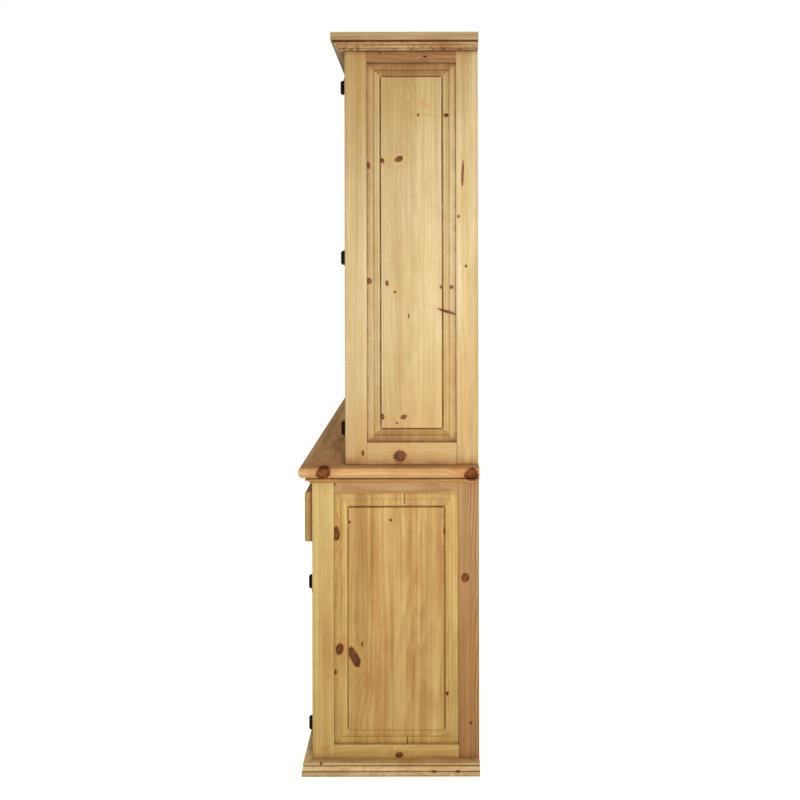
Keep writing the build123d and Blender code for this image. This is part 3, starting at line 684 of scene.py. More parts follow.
@dataclass(frozen=True)
class PineFinish:
    """Waxed pine with a darker glaze in its corners, painted shade round them, and on the cases' sides a band
    of painted sheen.
    """

    name: str
    early: Colour
    late: Colour
    heartwood: Colour
    knots: tuple[Knot, ...] = ()
    knots_face: float = 0.0
    stray_share: float = 0.3
    ring_spacing: float = 0.0065
    figure: float = 0.4
    streaks: float = 1.0
    # Strength of the glaze and of the painted shade round recesses
    glaze: float = 1.0
    mottle: float = 0.0
    # Painted sheen: a paler band round this height and reach, leaning with depth and tinted by the sheen
    # tint, where the key light's reflection falls
    sheen_height: float = 1.4
    sheen_reach: float = 0.55
    sheen_lean: float = 0.0
    sheen_tint: Colour = WHITE
    specular: float = 0.3
    shade_glaze_strength: float = 0.8
    # How much the end grain darkens: stain, and on raised panels painted shade too
    end_stain_and_shade: float = 0.6
    knot_colour: Colour = srgb(124, 61, 22)
    line_colour: Colour = srgb(70, 42, 20)
    shade_glaze_colour: Colour = srgb(170, 118, 62)
    near: float = 0.007
    wide: float = 0.035
    line_cover: float = 0.92
    relief: float = 0.0005

    def build(self, effects: Effects) -> bpy.types.Material:
        """Make the material.

        Args:
            effects: the shared shader groups.

        Returns:
            The material.
        """
        material, g, shader, point = new_material(self.name)
        board, tone, end = (
            g.add("ShaderNodeAttribute", attribute_name=mark.value).outputs[output]
            for mark, output in ((Mark.BOARD, "Vector"), (Mark.TONE, "Fac"), (Mark.END, "Fac"))
        )
        spread = g.group(effects.stray_knots, Board=board, Share=self.stray_share)["Spread"]
        for knot in self.knots:
            spread = g.math("MINIMUM", spread, knot.spread(g, point, self.knots_face))
        figure = g.group(effects.knot_figure, Point=point, Spread=spread)
        pine = g.group(
            effects.pine, Board=board, Tone=tone, End_grain=end, Core=figure["Core"], Rim=figure["Rim"],
            Halo=figure["Halo"], Stain=figure["Stain"], Bend=figure["Bend"], Ring_spacing=self.ring_spacing,
            Figure=self.figure, Streaks=self.streaks, Cross_stain=self.end_stain_and_shade, Early_wood=self.early,
            Late_wood=self.late, Heartwood=self.heartwood, Knot_wood=self.knot_colour,
        )
        near, wide = (self._openness(g, reach) for reach in (self.near, self.wide))
        glaze = g.group(
            effects.glaze, Point=point, Near=near, Wide=wide, Strength=self.glaze, Mottle=self.mottle
        )
        use = g.group(effects.handling, Point=point, Dents=1.0)
        wood = self._with_painted_sheen(g, point, pine["Colour"], figure["Core"])
        # Painted shade with the glaze: the soft brown tints the wood round recesses
        colour = g.mix(g.times(glaze["Soft"], self.shade_glaze_strength), wood, g.tint(wood, self.shade_glaze_colour))
        g.fill(
            shader, Base_Color=g.mix(g.times(glaze["Line"], self.line_cover), colour, self.line_colour),
            Roughness=g.plus(pine["Roughness"], g.times(glaze["Soft"], 0.12), g.times(use["Rub"], -0.04)),
            Specular_IOR_Level=self.specular,
            Normal=g.bump(g.plus(pine["Height"], use["Height"]), self.relief),
        )
        return material

    def _with_painted_sheen(self, g: Graph, point: Socket, colour: Socket, core: Socket) -> Socket:
        """The wood's colour, paler in a band across the board: painted light that stands in for the key
        light's broad sheen on the wax.

        Args:
            g: the graph to build in.
            point: the point.
            colour: the colour of the wood.
            core: the mask of the knots, which keep their colour.

        Returns:
            The colour.
        """
        _, back, height = g.split(point)
        # Painted light: the band follows where the lamp's sheen falls, higher towards the back
        centre = g.plus(g.times(back, self.sheen_lean), self.sheen_height)
        away = g.math("ABSOLUTE", g.math("SUBTRACT", height, centre))
        band = g.step(away, 0.2 * self.sheen_reach, self.sheen_reach, 1.0, 0.0)
        sheen_mask = g.times(band, g.math("SUBTRACT", 1.0, core))
        half_sheened = g.tint(colour, tuple(0.5 * c for c in self.sheen_tint))
        return g.mix(sheen_mask, colour, g.shade(half_sheened, 2.0))

    @staticmethod
    def _openness(g: Graph, reach: float) -> Socket:
        """How open a place is to its surroundings.

        Args:
            g: the graph to build in.
            reach: how far other surfaces count.

        Returns:
            A value from 0, closed in, to 1, open.
        """
        node = g.add("ShaderNodeAmbientOcclusion", samples=6)
        return g.fill(node, Distance=reach).outputs["AO"]


@dataclass(frozen=True)
class IronFinish:
    """Blackened forged iron, waxed, rubbed bare on its high spots."""

    name: str
    black: Colour = srgb(30, 27, 25)
    rubbed: Colour = srgb(88, 80, 74)
    mark_size: float = 0.006
    relief: float = 0.0005
    metallic: float = 0.7

    def build(self, effects: Effects) -> bpy.types.Material:
        """Make the material.

        Args:
            effects: the shared shader groups.

        Returns:
            The material.
        """
        material, g, shader, point = new_material(self.name)
        skin = g.group(effects.forged, Point=point, Mark_size=self.mark_size)
        use = g.group(effects.handling, Point=point, Dents=0.4)
        worn = g.times(skin["Worn"], g.plus(use["Rub"], 0.35), 0.55)
        g.fill(
            shader, Base_Color=g.mix(worn, self.black, self.rubbed), Metallic=self.metallic,
            Roughness=g.plus(0.52, g.times(worn, -0.2)),
            Normal=g.bump(g.plus(skin["Height"], use["Height"]), self.relief),
        )
        return material


@dataclass(frozen=True)
class GlassFinish:
    """Clear drawn sheet glass with a faint ripple and a little dust."""

    name: str
    tint: Colour = (0.93, 0.97, 0.95)
    dusty: Colour = (0.88, 0.92, 0.90)
    refraction: float = 1.45
    ripple: float = 0.002
    ripple_strength: float = 0.25

    def build(self) -> bpy.types.Material:
        """Make the material.

        Returns:
            The material.
        """
        material, g, shader, point = new_material(self.name)
        smear = g.noise(point, (12.0, 12.0, 5.0), 4.0)
        g.fill(
            shader, Transmission_Weight=1.0, IOR=self.refraction,
            Roughness=g.step(smear, 0.45, 0.8, 0.01, 0.06),
            Base_Color=g.mix(g.step(smear, 0.3, 0.8, 0.0, 0.4), self.tint, self.dusty),
            Normal=g.bump(g.noise(point, (9.0, 1.0, 2.0), 1.0), self.ripple, self.ripple_strength),
        )
        return material


@dataclass(frozen=True)
class FloorFinish:
    """Pale matt studio floor, a little brighter to the camera than it is lit."""

    name: str
    tint: Colour = (0.92, 0.92, 0.92)
    cloudiness: float = 1.02
    roughness: float = 0.95
    specular: float = 0.1
    lift: float = 0.85

    def build(self) -> bpy.types.Material:
        """Make the material.

        Returns:
            The material.
        """
        material, g, shader, point = new_material(self.name)
        paler = tuple(min(1.0, c * self.cloudiness) for c in self.tint)
        g.fill(
            shader, Base_Color=g.mix(g.noise(point, 1.3, 3.0), self.tint, paler), Roughness=self.roughness,
            Specular_IOR_Level=self.specular,
        )
        glow = g.fill(g.add("ShaderNodeEmission"), Strength=g.times(g.seen(), self.lift))
        both = g.add("ShaderNodeAddShader")
        for socket, part in zip(both.inputs, (shader, glow)):
            g.feed(socket, part.outputs[0])
        g.fill(material.node_tree.nodes["Material Output"], Surface=both.outputs[0])
        return material


# Knots that show on the right side
UPPER_PANEL_KNOTS = (
    Knot(0.037, 1.688, 0.0118, 0.0076, 25),
    Knot(-0.008, 1.683, 0.0047, 0.0072, 15),
    Knot(-0.049, 1.672, 0.0069, 0.0097),
    Knot(0.169, 1.811, 0.0069, 0.0050, 20),
    Knot(0.004, 1.344, 0.0049, 0.0069),
    Knot(0.026, 1.319, 0.0042, 0.0042),
    Knot(0.064, 1.253, 0.0021, 0.0069),
    Knot(-0.046, 1.350, 0.0069, 0.0090),
    Knot(0.153, 1.333, 0.0033, 0.0042),
    Knot(0.183, 1.333, 0.0056, 0.0056),
    Knot(0.169, 1.265, 0.0264, 0.0036, -18),
    Knot(-0.010, 0.974, 0.0056, 0.0076, 10),
    Knot(0.049, 0.972, 0.0090, 0.0058, 25),
    Knot(0.030, 0.956, 0.0042, 0.0028),
    Knot(0.091, 1.811, 0.0028, 0.0042),
    Knot(0.114, 1.836, 0.0280, 0.0060, -32, 0.9),
    Knot(0.114, 1.812, 0.0250, 0.0040, -8, 0.9),
)
UPPER_FRAME_KNOTS = (
    Knot(0.214, 1.646, 0.0032, 0.0380, -2),
    Knot(0.223, 1.391, 0.0035, 0.0042),
    Knot(0.203, 1.529, 0.0035, 0.0042),
    Knot(0.110, 1.972, 0.0055, 0.0035),
    Knot(-0.015, 1.983, 0.0041, 0.0030),
    Knot(0.039, 0.865, 0.0180, 0.0152, 10),
    Knot(-0.064, 0.873, 0.0042, 0.0083),
)
COUNTER_KNOTS = (
    Knot(-0.170, 0.829, 0.0204, 0.0160, 30),
    Knot(0.235, 0.822, 0.0190, 0.0190, 15),
)
LOWER_PANEL_KNOTS = (
    Knot(-0.100, 0.686, 0.0030, 0.0041),
    Knot(0.013, 0.692, 0.0036, 0.0036),
    Knot(-0.138, 0.653, 0.0096, 0.0193),
    Knot(0.161, 0.661, 0.0028, 0.0110, 5),
    Knot(-0.129, 0.334, 0.0096, 0.0165, -8),
    Knot(-0.087, 0.314, 0.0117, 0.0262, 22),
    Knot(-0.066, 0.350, 0.0033, 0.0083, 5),
    Knot(-0.140, 0.270, 0.0041, 0.0069),
    Knot(0.168, 0.212, 0.0044, 0.0055),
    Knot(0.062, 0.245, 0.0041, 0.0055, 0, 0.9),
    Knot(0.0512, 0.749, 0.0014, 0.0150),
    Knot(0.0582, 0.0815, 0.0013, 0.0117),
)
LOWER_FRAME_KNOTS = (
    Knot(0.218, 0.534, 0.0110, 0.0131, -10),
    Knot(0.233, 0.134, 0.0044, 0.0052),
    Knot(0.036, 0.046, 0.0103, 0.0069, 10),
    Knot(-0.168, 0.065, 0.0083, 0.0055, 0, 0.8),
)
MOULDING_KNOTS = (
    Knot(-0.174, 0.042, 0.0034, 0.0025),
    Knot(-0.177, 0.034, 0.0034, 0.0025),
    Knot(0.131, 0.014, 0.0055, 0.0027),
    Knot(0.196, 0.014, 0.0055, 0.0034, 10),
)


class Palette:
    """Every finish of the cabinet, by what it is used for."""

    def __init__(self, effects: Effects) -> None:
        """Build the materials.

        Args:
            effects: the shared shader groups.
        """
        straw, amber, toffee = srgb(200, 168, 110), srgb(172, 130, 72), srgb(188, 142, 76)
        honey, rust, caramel = srgb(204, 172, 102), srgb(160, 106, 54), srgb(178, 126, 64)
        # Painted sheen tints: the paler bands where the key light's reflection falls on the cases' sides
        painted_sheen = (1.12, 1.30, 1.62)
        upper_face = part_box("upper_corner_posts")[1].x
        lower_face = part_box("lower_corner_posts")[1].x
        counter_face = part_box("counter_top")[1].x
        self.upper_frame = PineFinish(
            "pine_upper_frame", straw, amber, toffee, UPPER_FRAME_KNOTS, upper_face, stray_share=0.12,
            sheen_tint=painted_sheen, figure=0.32, sheen_lean=0.9,
        ).build(effects)
        self.upper_panel = PineFinish(
            "pine_upper_panel", straw, amber, toffee, UPPER_PANEL_KNOTS, upper_face, stray_share=0.0,
            figure=0.3, sheen_tint=painted_sheen, sheen_lean=0.9, end_stain_and_shade=0.74,
        ).build(effects)
        self.lower_frame = PineFinish(
            "pine_lower_frame", honey, rust, caramel, LOWER_FRAME_KNOTS, lower_face, stray_share=0.12,
            figure=0.4, ring_spacing=0.0042, shade_glaze_strength=0.4, sheen_height=0.85, sheen_reach=0.6,
            sheen_tint=(1.08, 1.18, 1.35),
        ).build(effects)
        self.lower_panel = PineFinish(
            "pine_lower_panel", honey, rust, caramel, LOWER_PANEL_KNOTS, lower_face, stray_share=0.0,
            figure=0.3, streaks=1.5, shade_glaze_strength=0.3, glaze=0.75, end_stain_and_shade=0.2,
        ).build(effects)
        self.cornice = PineFinish(
            "pine_cornice", srgb(202, 173, 120), srgb(146, 104, 58), srgb(156, 108, 58), stray_share=0.15,
            mottle=1.2, glaze=1.25, shade_glaze_strength=1.0, streaks=1.8, shade_glaze_colour=srgb(150, 100, 52),
            line_colour=srgb(104, 70, 38),
        ).build(effects)
        self.base = PineFinish(
            "pine_base", srgb(226, 198, 142), srgb(170, 128, 76), srgb(184, 136, 80), MOULDING_KNOTS,
            lower_face, stray_share=0.1, mottle=0.6, glaze=0.6, streaks=1.5,
        ).build(effects)
        self.counter = PineFinish(
            "pine_counter", srgb(204, 160, 106), srgb(160, 108, 60), srgb(168, 112, 60), COUNTER_KNOTS,
            counter_face, stray_share=0.35, figure=0.5, specular=0.15, streaks=1.4, glaze=0.75,
            end_stain_and_shade=0.0,
        ).build(effects)
        self.doors = PineFinish(
            "pine_doors", srgb(206, 172, 106), srgb(168, 122, 62), srgb(186, 136, 70), stray_share=0.3,
            figure=0.4, shade_glaze_strength=0.35, end_stain_and_shade=0.25,
        ).build(effects)
        self.inside = PineFinish(
            "pine_inside", srgb(212, 180, 124), srgb(182, 138, 80), srgb(196, 150, 90), glaze=0.5,
            stray_share=0.35,
        ).build(effects)
        self.iron = IronFinish("black_iron").build(effects)
        self.nails = IronFinish(
            "nail_iron", srgb(44, 40, 37), srgb(120, 110, 100), mark_size=0.003, relief=0.0003
        ).build(effects)
        self.glass = GlassFinish("clear_glass").build()


# ------------------------------------------------------------------------------------------ meshes


def closed_solids(node: str) -> list[list[Triangle]]:
    """The closed solids of a CAD node.

    Args:
        node: the node.

    Returns:
        The triangles of each solid. They follow one another in the node, and a solid ends where no edge is
        open.
    """
    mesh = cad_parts[node].data
    open_edges: dict[tuple, int] = {}
    found: list[list[Triangle]] = [[]]
    for face in mesh.polygons:
        triangle = tuple(mesh.vertices[i].co.copy() for i in face.vertices)
        found[-1].append(triangle)
        keys = [tuple(round(c, DIGITS) for c in corner) for corner in triangle]
        for start, end in zip(keys, keys[1:] + keys[:1]):
            if open_edges.get((end, start)):
                open_edges[end, start] -= 1
                if not open_edges[end, start]:
                    del open_edges[end, start]
            else:
                open_edges[start, end] = open_edges.get((start, end), 0) + 1
        if not open_edges:
            found.append([])
    return [solid for solid in found if solid]


def merged(solid: list[Triangle], flatten: float = math.radians(0.5)) -> bmesh.types.BMesh:
    """One closed solid as a mesh whose flat faces are whole.

    Args:
        solid: its triangles.
        flatten: how far two faces may differ and still count as flat.

    Returns:
        The mesh.
    """
    mesh = bmesh.new()
    for triangle in solid:
        mesh.faces.new([mesh.verts.new(corner) for corner in triangle])
    bmesh.ops.remove_doubles(mesh, verts=mesh.verts, dist=MERGE)
    bmesh.ops.dissolve_limit(
        mesh, angle_limit=flatten, verts=mesh.verts, edges=mesh.edges, delimit={"NORMAL"}
    )
    return mesh


def box_of(points: list[Vector]) -> tuple[Vector, Vector]:
    """The lowest and highest corners round some points."""
    return (
        Vector([min(p[k] for p in points) for k in range(3)]),
        Vector([max(p[k] for p in points) for k in range(3)]),
    )


def box_of_board(board: bmesh.types.BMesh) -> tuple[Vector, Vector]:
    """The lowest and highest corners of a board."""
    return box_of([vert.co for vert in board.verts])


def corners(solid: list[Triangle]) -> list[Vector]:
    """Every corner of a solid's triangles."""
    return [corner for triangle in solid for corner in triangle]


def section_loop(mesh: bmesh.types.BMesh, place: Vector, normal: Vector) -> list[Vector]:
    """The outline in which a plane cuts a closed mesh.

    Args:
        mesh: the mesh. It is freed.
        place: a point on the plane.
        normal: the plane's normal.

    Returns:
        The outline's points in order.
    """
    bmesh.ops.bisect_plane(
        mesh, geom=[*mesh.verts, *mesh.edges, *mesh.faces], dist=FLUSH, plane_co=place, plane_no=normal,
        clear_inner=True, clear_outer=True,
    )
    bmesh.ops.remove_doubles(mesh, verts=mesh.verts, dist=MERGE)
    first = last = mesh.verts[:][0]
    edge = last.link_edges[0]
    loop = [last.co.copy()]
    while (last := edge.other_vert(last)) is not first:
        loop.append(last.co.copy())
        edge = next(e for e in last.link_edges if e is not edge)
    mesh.free()
    return loop


def mitred_panel(board: bmesh.types.BMesh, thin: Axis) -> bmesh.types.BMesh:
    """A raised panel whose moulding meets in clean mitres, on the section of a plain one.

    Args:
        board: the plain panel, standing upright. It is freed.
        thin: the axis of its thickness.

    Returns:
        The mitred panel.
    """
    low, high = box_of_board(board)
    wide = Axis.X if thin is Axis.Y else Axis.Y
    loop = section_loop(board, (low + high) / 2, Vector((0, 0, 1)))
    count = len(loop)
    spans = [(loop[k - 1] - loop[k]).length for k in range(count)]
    field_edge = sorted(range(count), key=lambda k: -spans[k])[1]
    chain = loop[field_edge:] + loop[:field_edge]
    across = wide.value
    if chain[0][across] > chain[-1][across]:
        chain.reverse()
    chain = [p for p in chain if p[across] < (low[across] + high[across]) / 2]
    mesh = bmesh.new()
    rings = []
    for point in chain:
        inset = point[across] - low[across]
        ring = []
        for w, z in ((low, low), (high, low), (high, high), (low, high)):
            corner = point.copy()
            corner[across] = w[across] + (inset if w is low else -inset)
            corner.z = z.z + (inset if z is low else -inset)
            ring.append(mesh.verts.new(corner))
        rings.append(ring)
    for ring, following in zip(rings, rings[1:]):
        for k in range(4):
            mesh.faces.new((ring[k - 1], ring[k], following[k], following[k - 1]))
    for ring in (rings[0], rings[-1]):
        mesh.faces.new(ring)
    bmesh.ops.remove_doubles(mesh, verts=mesh.verts, dist=MERGE)
    bmesh.ops.recalc_face_normals(mesh, faces=mesh.faces)
    return mesh


def staves(mesh: bmesh.types.BMesh, axis: Axis, joints: tuple[float, ...]) -> list[bmesh.types.BMesh]:
    """A board sawn into closed staves.

    Args:
        mesh: the board. It is freed.
        axis: the axis that the staves follow one another along.
        joints: where it is sawn.

    Returns:
        The staves, in order.
    """
    normal = Vector([float(k == axis.value) for k in range(3)])
    ends = (None, *joints, None)
    pieces = []
    for low, high in zip(ends, ends[1:]):
        piece = mesh.copy()
        for place, side in ((low, 1), (high, -1)):
            if place is None:
                continue
            bmesh.ops.bisect_plane(
                piece, geom=[*piece.verts, *piece.edges, *piece.faces], dist=FLUSH,
                plane_co=normal * place, plane_no=normal * side, clear_inner=True,
            )
            bmesh.ops.holes_fill(piece, edges=[e for e in piece.edges if e.is_boundary], sides=0)
        bmesh.ops.recalc_face_normals(piece, faces=piece.faces)
        pieces.append(piece)
    mesh.free()
    return pieces


def ease(
    mesh: bmesh.types.BMesh, width: float, shortest: float, least_turn: float, straight: float = 0.0
) -> None:
    """Round the convex edges of a mesh.

    Args:
        mesh: the mesh.
        width: how far the rounding reaches.
        shortest: the length of the shortest edge that is rounded.
        least_turn: how far two faces have to turn to make such an edge.
        straight: the least share of an edge's length that runs along one axis.
    """
    chosen = []
    for edge in mesh.edges:
        run = edge.verts[1].co - edge.verts[0].co
        along = max(abs(c) for c in run) > straight * run.length
        if edge.is_convex and run.length > shortest and along and edge.calc_face_angle(0.0) > least_turn:
            chosen.append(edge)
    bmesh.ops.bevel(
        mesh, geom=chosen, offset=width, offset_type="OFFSET", segments=2, profile=0.5, affect="EDGES",
        clamp_overlap=True,
    )


def stamp(mesh: bpy.types.Mesh, mark: Mark, kind: str, domain: str, values: list[float]) -> None:
    """Give a mesh an attribute.

    Args:
        mesh: the mesh.
        mark: the attribute's name.
        kind: FLOAT or FLOAT_VECTOR.
        domain: what it is stored on.
        values: its values in one flat list.
    """
    data = mesh.attributes.new(mark.value, kind, domain).data
    data.foreach_set("vector" if kind == "FLOAT_VECTOR" else "value", values)


def new_object(name: str, mesh: bpy.types.Mesh) -> bpy.types.Object:
    """Put a mesh in the scene.

    Args:
        name: the new object's name.
        mesh: its mesh.

    Returns:
        The new object.
    """
    piece = bpy.data.objects.new(name, mesh)
    bpy.context.scene.collection.objects.link(piece)
    return piece


def baked(carrier: bpy.types.Object, name: str) -> bpy.types.Object:
    """An object's modifiers turned into plain mesh on a new object.

    Args:
        carrier: the object with the modifiers. It is removed.
        name: the new object's name.

    Returns:
        The new object.
    """
    graph = bpy.context.evaluated_depsgraph_get()
    plain = bpy.data.meshes.new_from_object(carrier.evaluated_get(graph))
    plain.name = name
    old = carrier.data
    bpy.data.objects.remove(carrier)
    bpy.data.meshes.remove(old)
    return new_object(name, plain)


def shaded(piece: bpy.types.Object, name: str, sharpest: float) -> bpy.types.Object:
    """Smooth a piece's rounded edges while its flat faces stay flat.

    Args:
        piece: the piece. It is removed.
        name: the new piece's name.
        sharpest: how far two faces may turn and still be shaded as one.

    Returns:
        The new piece.
    """
    piece.data.shade_smooth()
    piece.data.set_sharp_from_angle(angle=sharpest)
    piece.modifiers.new("Flat faces", "WEIGHTED_NORMAL").keep_sharp = True
    return baked(piece, name)


def settle(piece: bpy.types.Object, body: str, slot: Slot, *nodes: str) -> bpy.types.Object:
    """Put a finished piece on its body.

    Args:
        piece: the piece.
        body: the body that it rides on.
        slot: its material slot; not used.
        nodes: the CAD nodes that it stands for.

    Returns:
        The piece.
    """
    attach(piece, body)
    if nodes:
        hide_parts(*nodes)
    log.info("%s: %d faces on %s", piece.name, len(piece.data.polygons), body)
    return piece


# ------------------------------------------------------------------------------------------ the workshop


@dataclass(frozen=True)
class Border:
    """The moulded border of an upright raised panel: the panel's corners, and the border's width and tone."""

    low: Vector
    high: Vector
    width: float
    tone: float

    def inset(self, place: Vector) -> tuple[float, float]:
        """How far a place lies from the panel's nearest upright edge, and from its top or bottom.

        Args:
            place: the place.

        Returns:
            The two distances.
        """
        low, high = self.low, self.high
        wide = max((Axis.X, Axis.Y), key=lambda axis: high[axis.value] - low[axis.value]).value
        return min(place[wide] - low[wide], high[wide] - place[wide]), min(place.z - low.z, high.z - place.z)

    def covers(self, place: Vector) -> bool:
        """Whether a place lies in the border."""
        return min(self.inset(place)) < self.width

    def across_grain(self, place: Vector) -> bool:
        """Whether a place lies in the border's top or bottom, which is cut across the grain."""
        aside, rise = self.inset(place)
        return rise < min(aside, self.width)


@dataclass
class BoardStack:
    """The boards of one piece, gathered with what their finish needs to know of each."""

    points: list[Vector] = field(default_factory=list)
    faces: list[list[int]] = field(default_factory=list)
    places: list[float] = field(default_factory=list)
    tones: list[float] = field(default_factory=list)
    ends: list[float] = field(default_factory=list)
    end_facing: float = 0.8

    def add(
        self, board: bmesh.types.BMesh, middle: Vector, order: list[int], luck: Vector, tone: float,
        border: Border | None,
    ) -> None:
        """Lay a board on the stack.

        Args:
            board: the board. It is freed.
            middle: its middle.
            order: its axes: along the grain, across it and through the board.
            luck: where it is cut from its tree.
            tone: its tone, from pale, 0, to ruddy, 1.
            border: the moulded border, on a raised panel.
        """
        start = len(self.points)
        for number, vert in enumerate(board.verts):
            vert.index = number
            local = vert.co - middle
            self.points.append(vert.co.copy())
            self.places.extend(Vector([local[k] for k in order]) + luck)
            self.tones.append(tone + (border.tone if border and border.covers(vert.co) else 0.0))
        for face in board.faces:
            self.faces.append([start + vert.index for vert in face.verts])
            # A panel border's top and bottom count as end grain: real end stain there, and painted shade on
            # those slopes
            across = border is not None and border.across_grain(face.calc_center_median())
            self.ends.append(float(across or abs(face.normal[order[0]]) > self.end_facing))
        board.free()

    def mesh(self, name: str, finish: bpy.types.Material) -> bpy.types.Mesh:
        """Make the stack one mesh.

        Args:
            name: its name.
            finish: its material.

        Returns:
            The mesh.
        """
        mesh = bpy.data.meshes.new(name)
        mesh.from_pydata(self.points, [], self.faces)
        mesh.materials.append(finish)
        stamp(mesh, Mark.BOARD, "FLOAT_VECTOR", "POINT", self.places)
        stamp(mesh, Mark.TONE, "FLOAT", "POINT", self.tones)
        stamp(mesh, Mark.END, "FLOAT", "FACE", self.ends)
        return mesh


@dataclass
class Woodshop:
    """Turns the frame's plain boards into worked pine boards in the same places."""

    seed: int = 7
    arris: float = 0.0009
    shortest_arris: float = 0.012
    sharpest_arris: float = math.radians(25)
    straight_arris: float = 0.999
    shading_angle: float = math.radians(34)
    panel_border: float = 0.047
    rng: random.Random = field(init=False)

    def __post_init__(self) -> None:
        """Start the random draws."""
        self.rng = random.Random(self.seed)

    def shift(self) -> float:
        """How far along its tree a board is cut."""
        return self.rng.uniform(-20, 20)

    def tone(self) -> float:
        """A board's tone, from pale, 0, to ruddy, 1."""
        return self.rng.uniform(0.05, 0.6)

    def luck(self) -> Vector:
        """Where a board is cut from its tree: along it, across it and towards the pith."""
        aside = self.rng.choice((-1, 1)) * self.rng.uniform(0.05, 0.17)
        return Vector((self.shift(), aside, self.rng.uniform(-0.02, 0.06)))

    def dress(
        self, node: str, body: str, slot: Slot, finish: bpy.types.Material, grain: Axis | None = None,
        tone: Callable[[Vector], float] | None = None, joints: tuple[Axis, tuple[float, ...]] | None = None,
        planed: float = 0.0, border_tone: float = 0.0, strips: float = 0.0,
    ) -> bpy.types.Object:
        """Replace one CAD node by worked boards.

        Args:
            node: the CAD node.
            body: the body that it rides on.
            slot: its material slot.
            finish: its material.
            grain: the axis of its grain, or None for each board's longest axis.
            tone: gives a board's tone from its middle, from pale, 0, to ruddy, 1. None draws it.
            joints: the axis and the places where a board is glued up from staves.
            planed: how much is planed off the back, so that nail heads lie within it.
            border_tone: how much ruddier a panel's border is than its field.
            strips: how wide the strips are that close the ends of a glued-up board across its grain.

        Returns:
            The new piece.
        """
        stack = BoardStack()
        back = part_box(node)[1].y
        for solid in closed_solids(node):
            whole, border = merged(solid), None
            if slot is Slot.PANEL:
                border = Border(*box_of_board(whole), self.panel_border, border_tone)
                whole = mitred_panel(whole, Axis.X if joints[0] is Axis.Y else Axis.Y)
            for board in self.sawn(whole, joints, strips):
                low, high = box_of_board(board)
                size, middle = high - low, (low + high) / 2
                order = sorted(range(3), key=lambda k: -size[k])
                if grain:
                    order.remove(grain.value)
                    order.insert(0, grain.value)
                for vert in board.verts:
                    if planed and vert.co.y > back - FLUSH:
                        vert.co.y -= planed
                stack.add(board, middle, order, self.luck(), tone(middle) if tone else self.tone(), border)
        boards = new_object(node + "_boards", stack.mesh(node + "_boards", finish))
        return settle(shaded(boards, node + "_worked", self.shading_angle), body, slot, node)

    def sawn(
        self, whole: bmesh.types.BMesh, joints: tuple[Axis, tuple[float, ...]] | None, strips: float
    ) -> list[bmesh.types.BMesh]:
        """Ease a board, and saw it into the pieces that it is glued up from.

        Args:
            whole: the board. It is freed if it is sawn.
            joints: the axis and the places where it is glued up from staves, or None.
            strips: the width of the strips at its ends, or 0.

        Returns:
            The strips, then the staves.
        """
        ease(whole, self.arris, self.shortest_arris, self.sharpest_arris, self.straight_arris)
        ends = []
        if strips:
            *ends, whole = self.stripped(whole, strips)
        return ends + (staves(whole, *joints) if joints else [whole])

    @staticmethod
    def stripped(board: bmesh.types.BMesh, width: float) -> list[bmesh.types.BMesh]:
        """Cut strips off both ends of a board.

        Args:
            board: the board, lying along X. It is freed.
            width: the strips' width.

        Returns:
            The two strips and what is between them.
        """
        low, high = box_of_board(board)
        left, middle, right = staves(board, Axis.X, (low.x + width, high.x - width))
        return [left, right, middle]


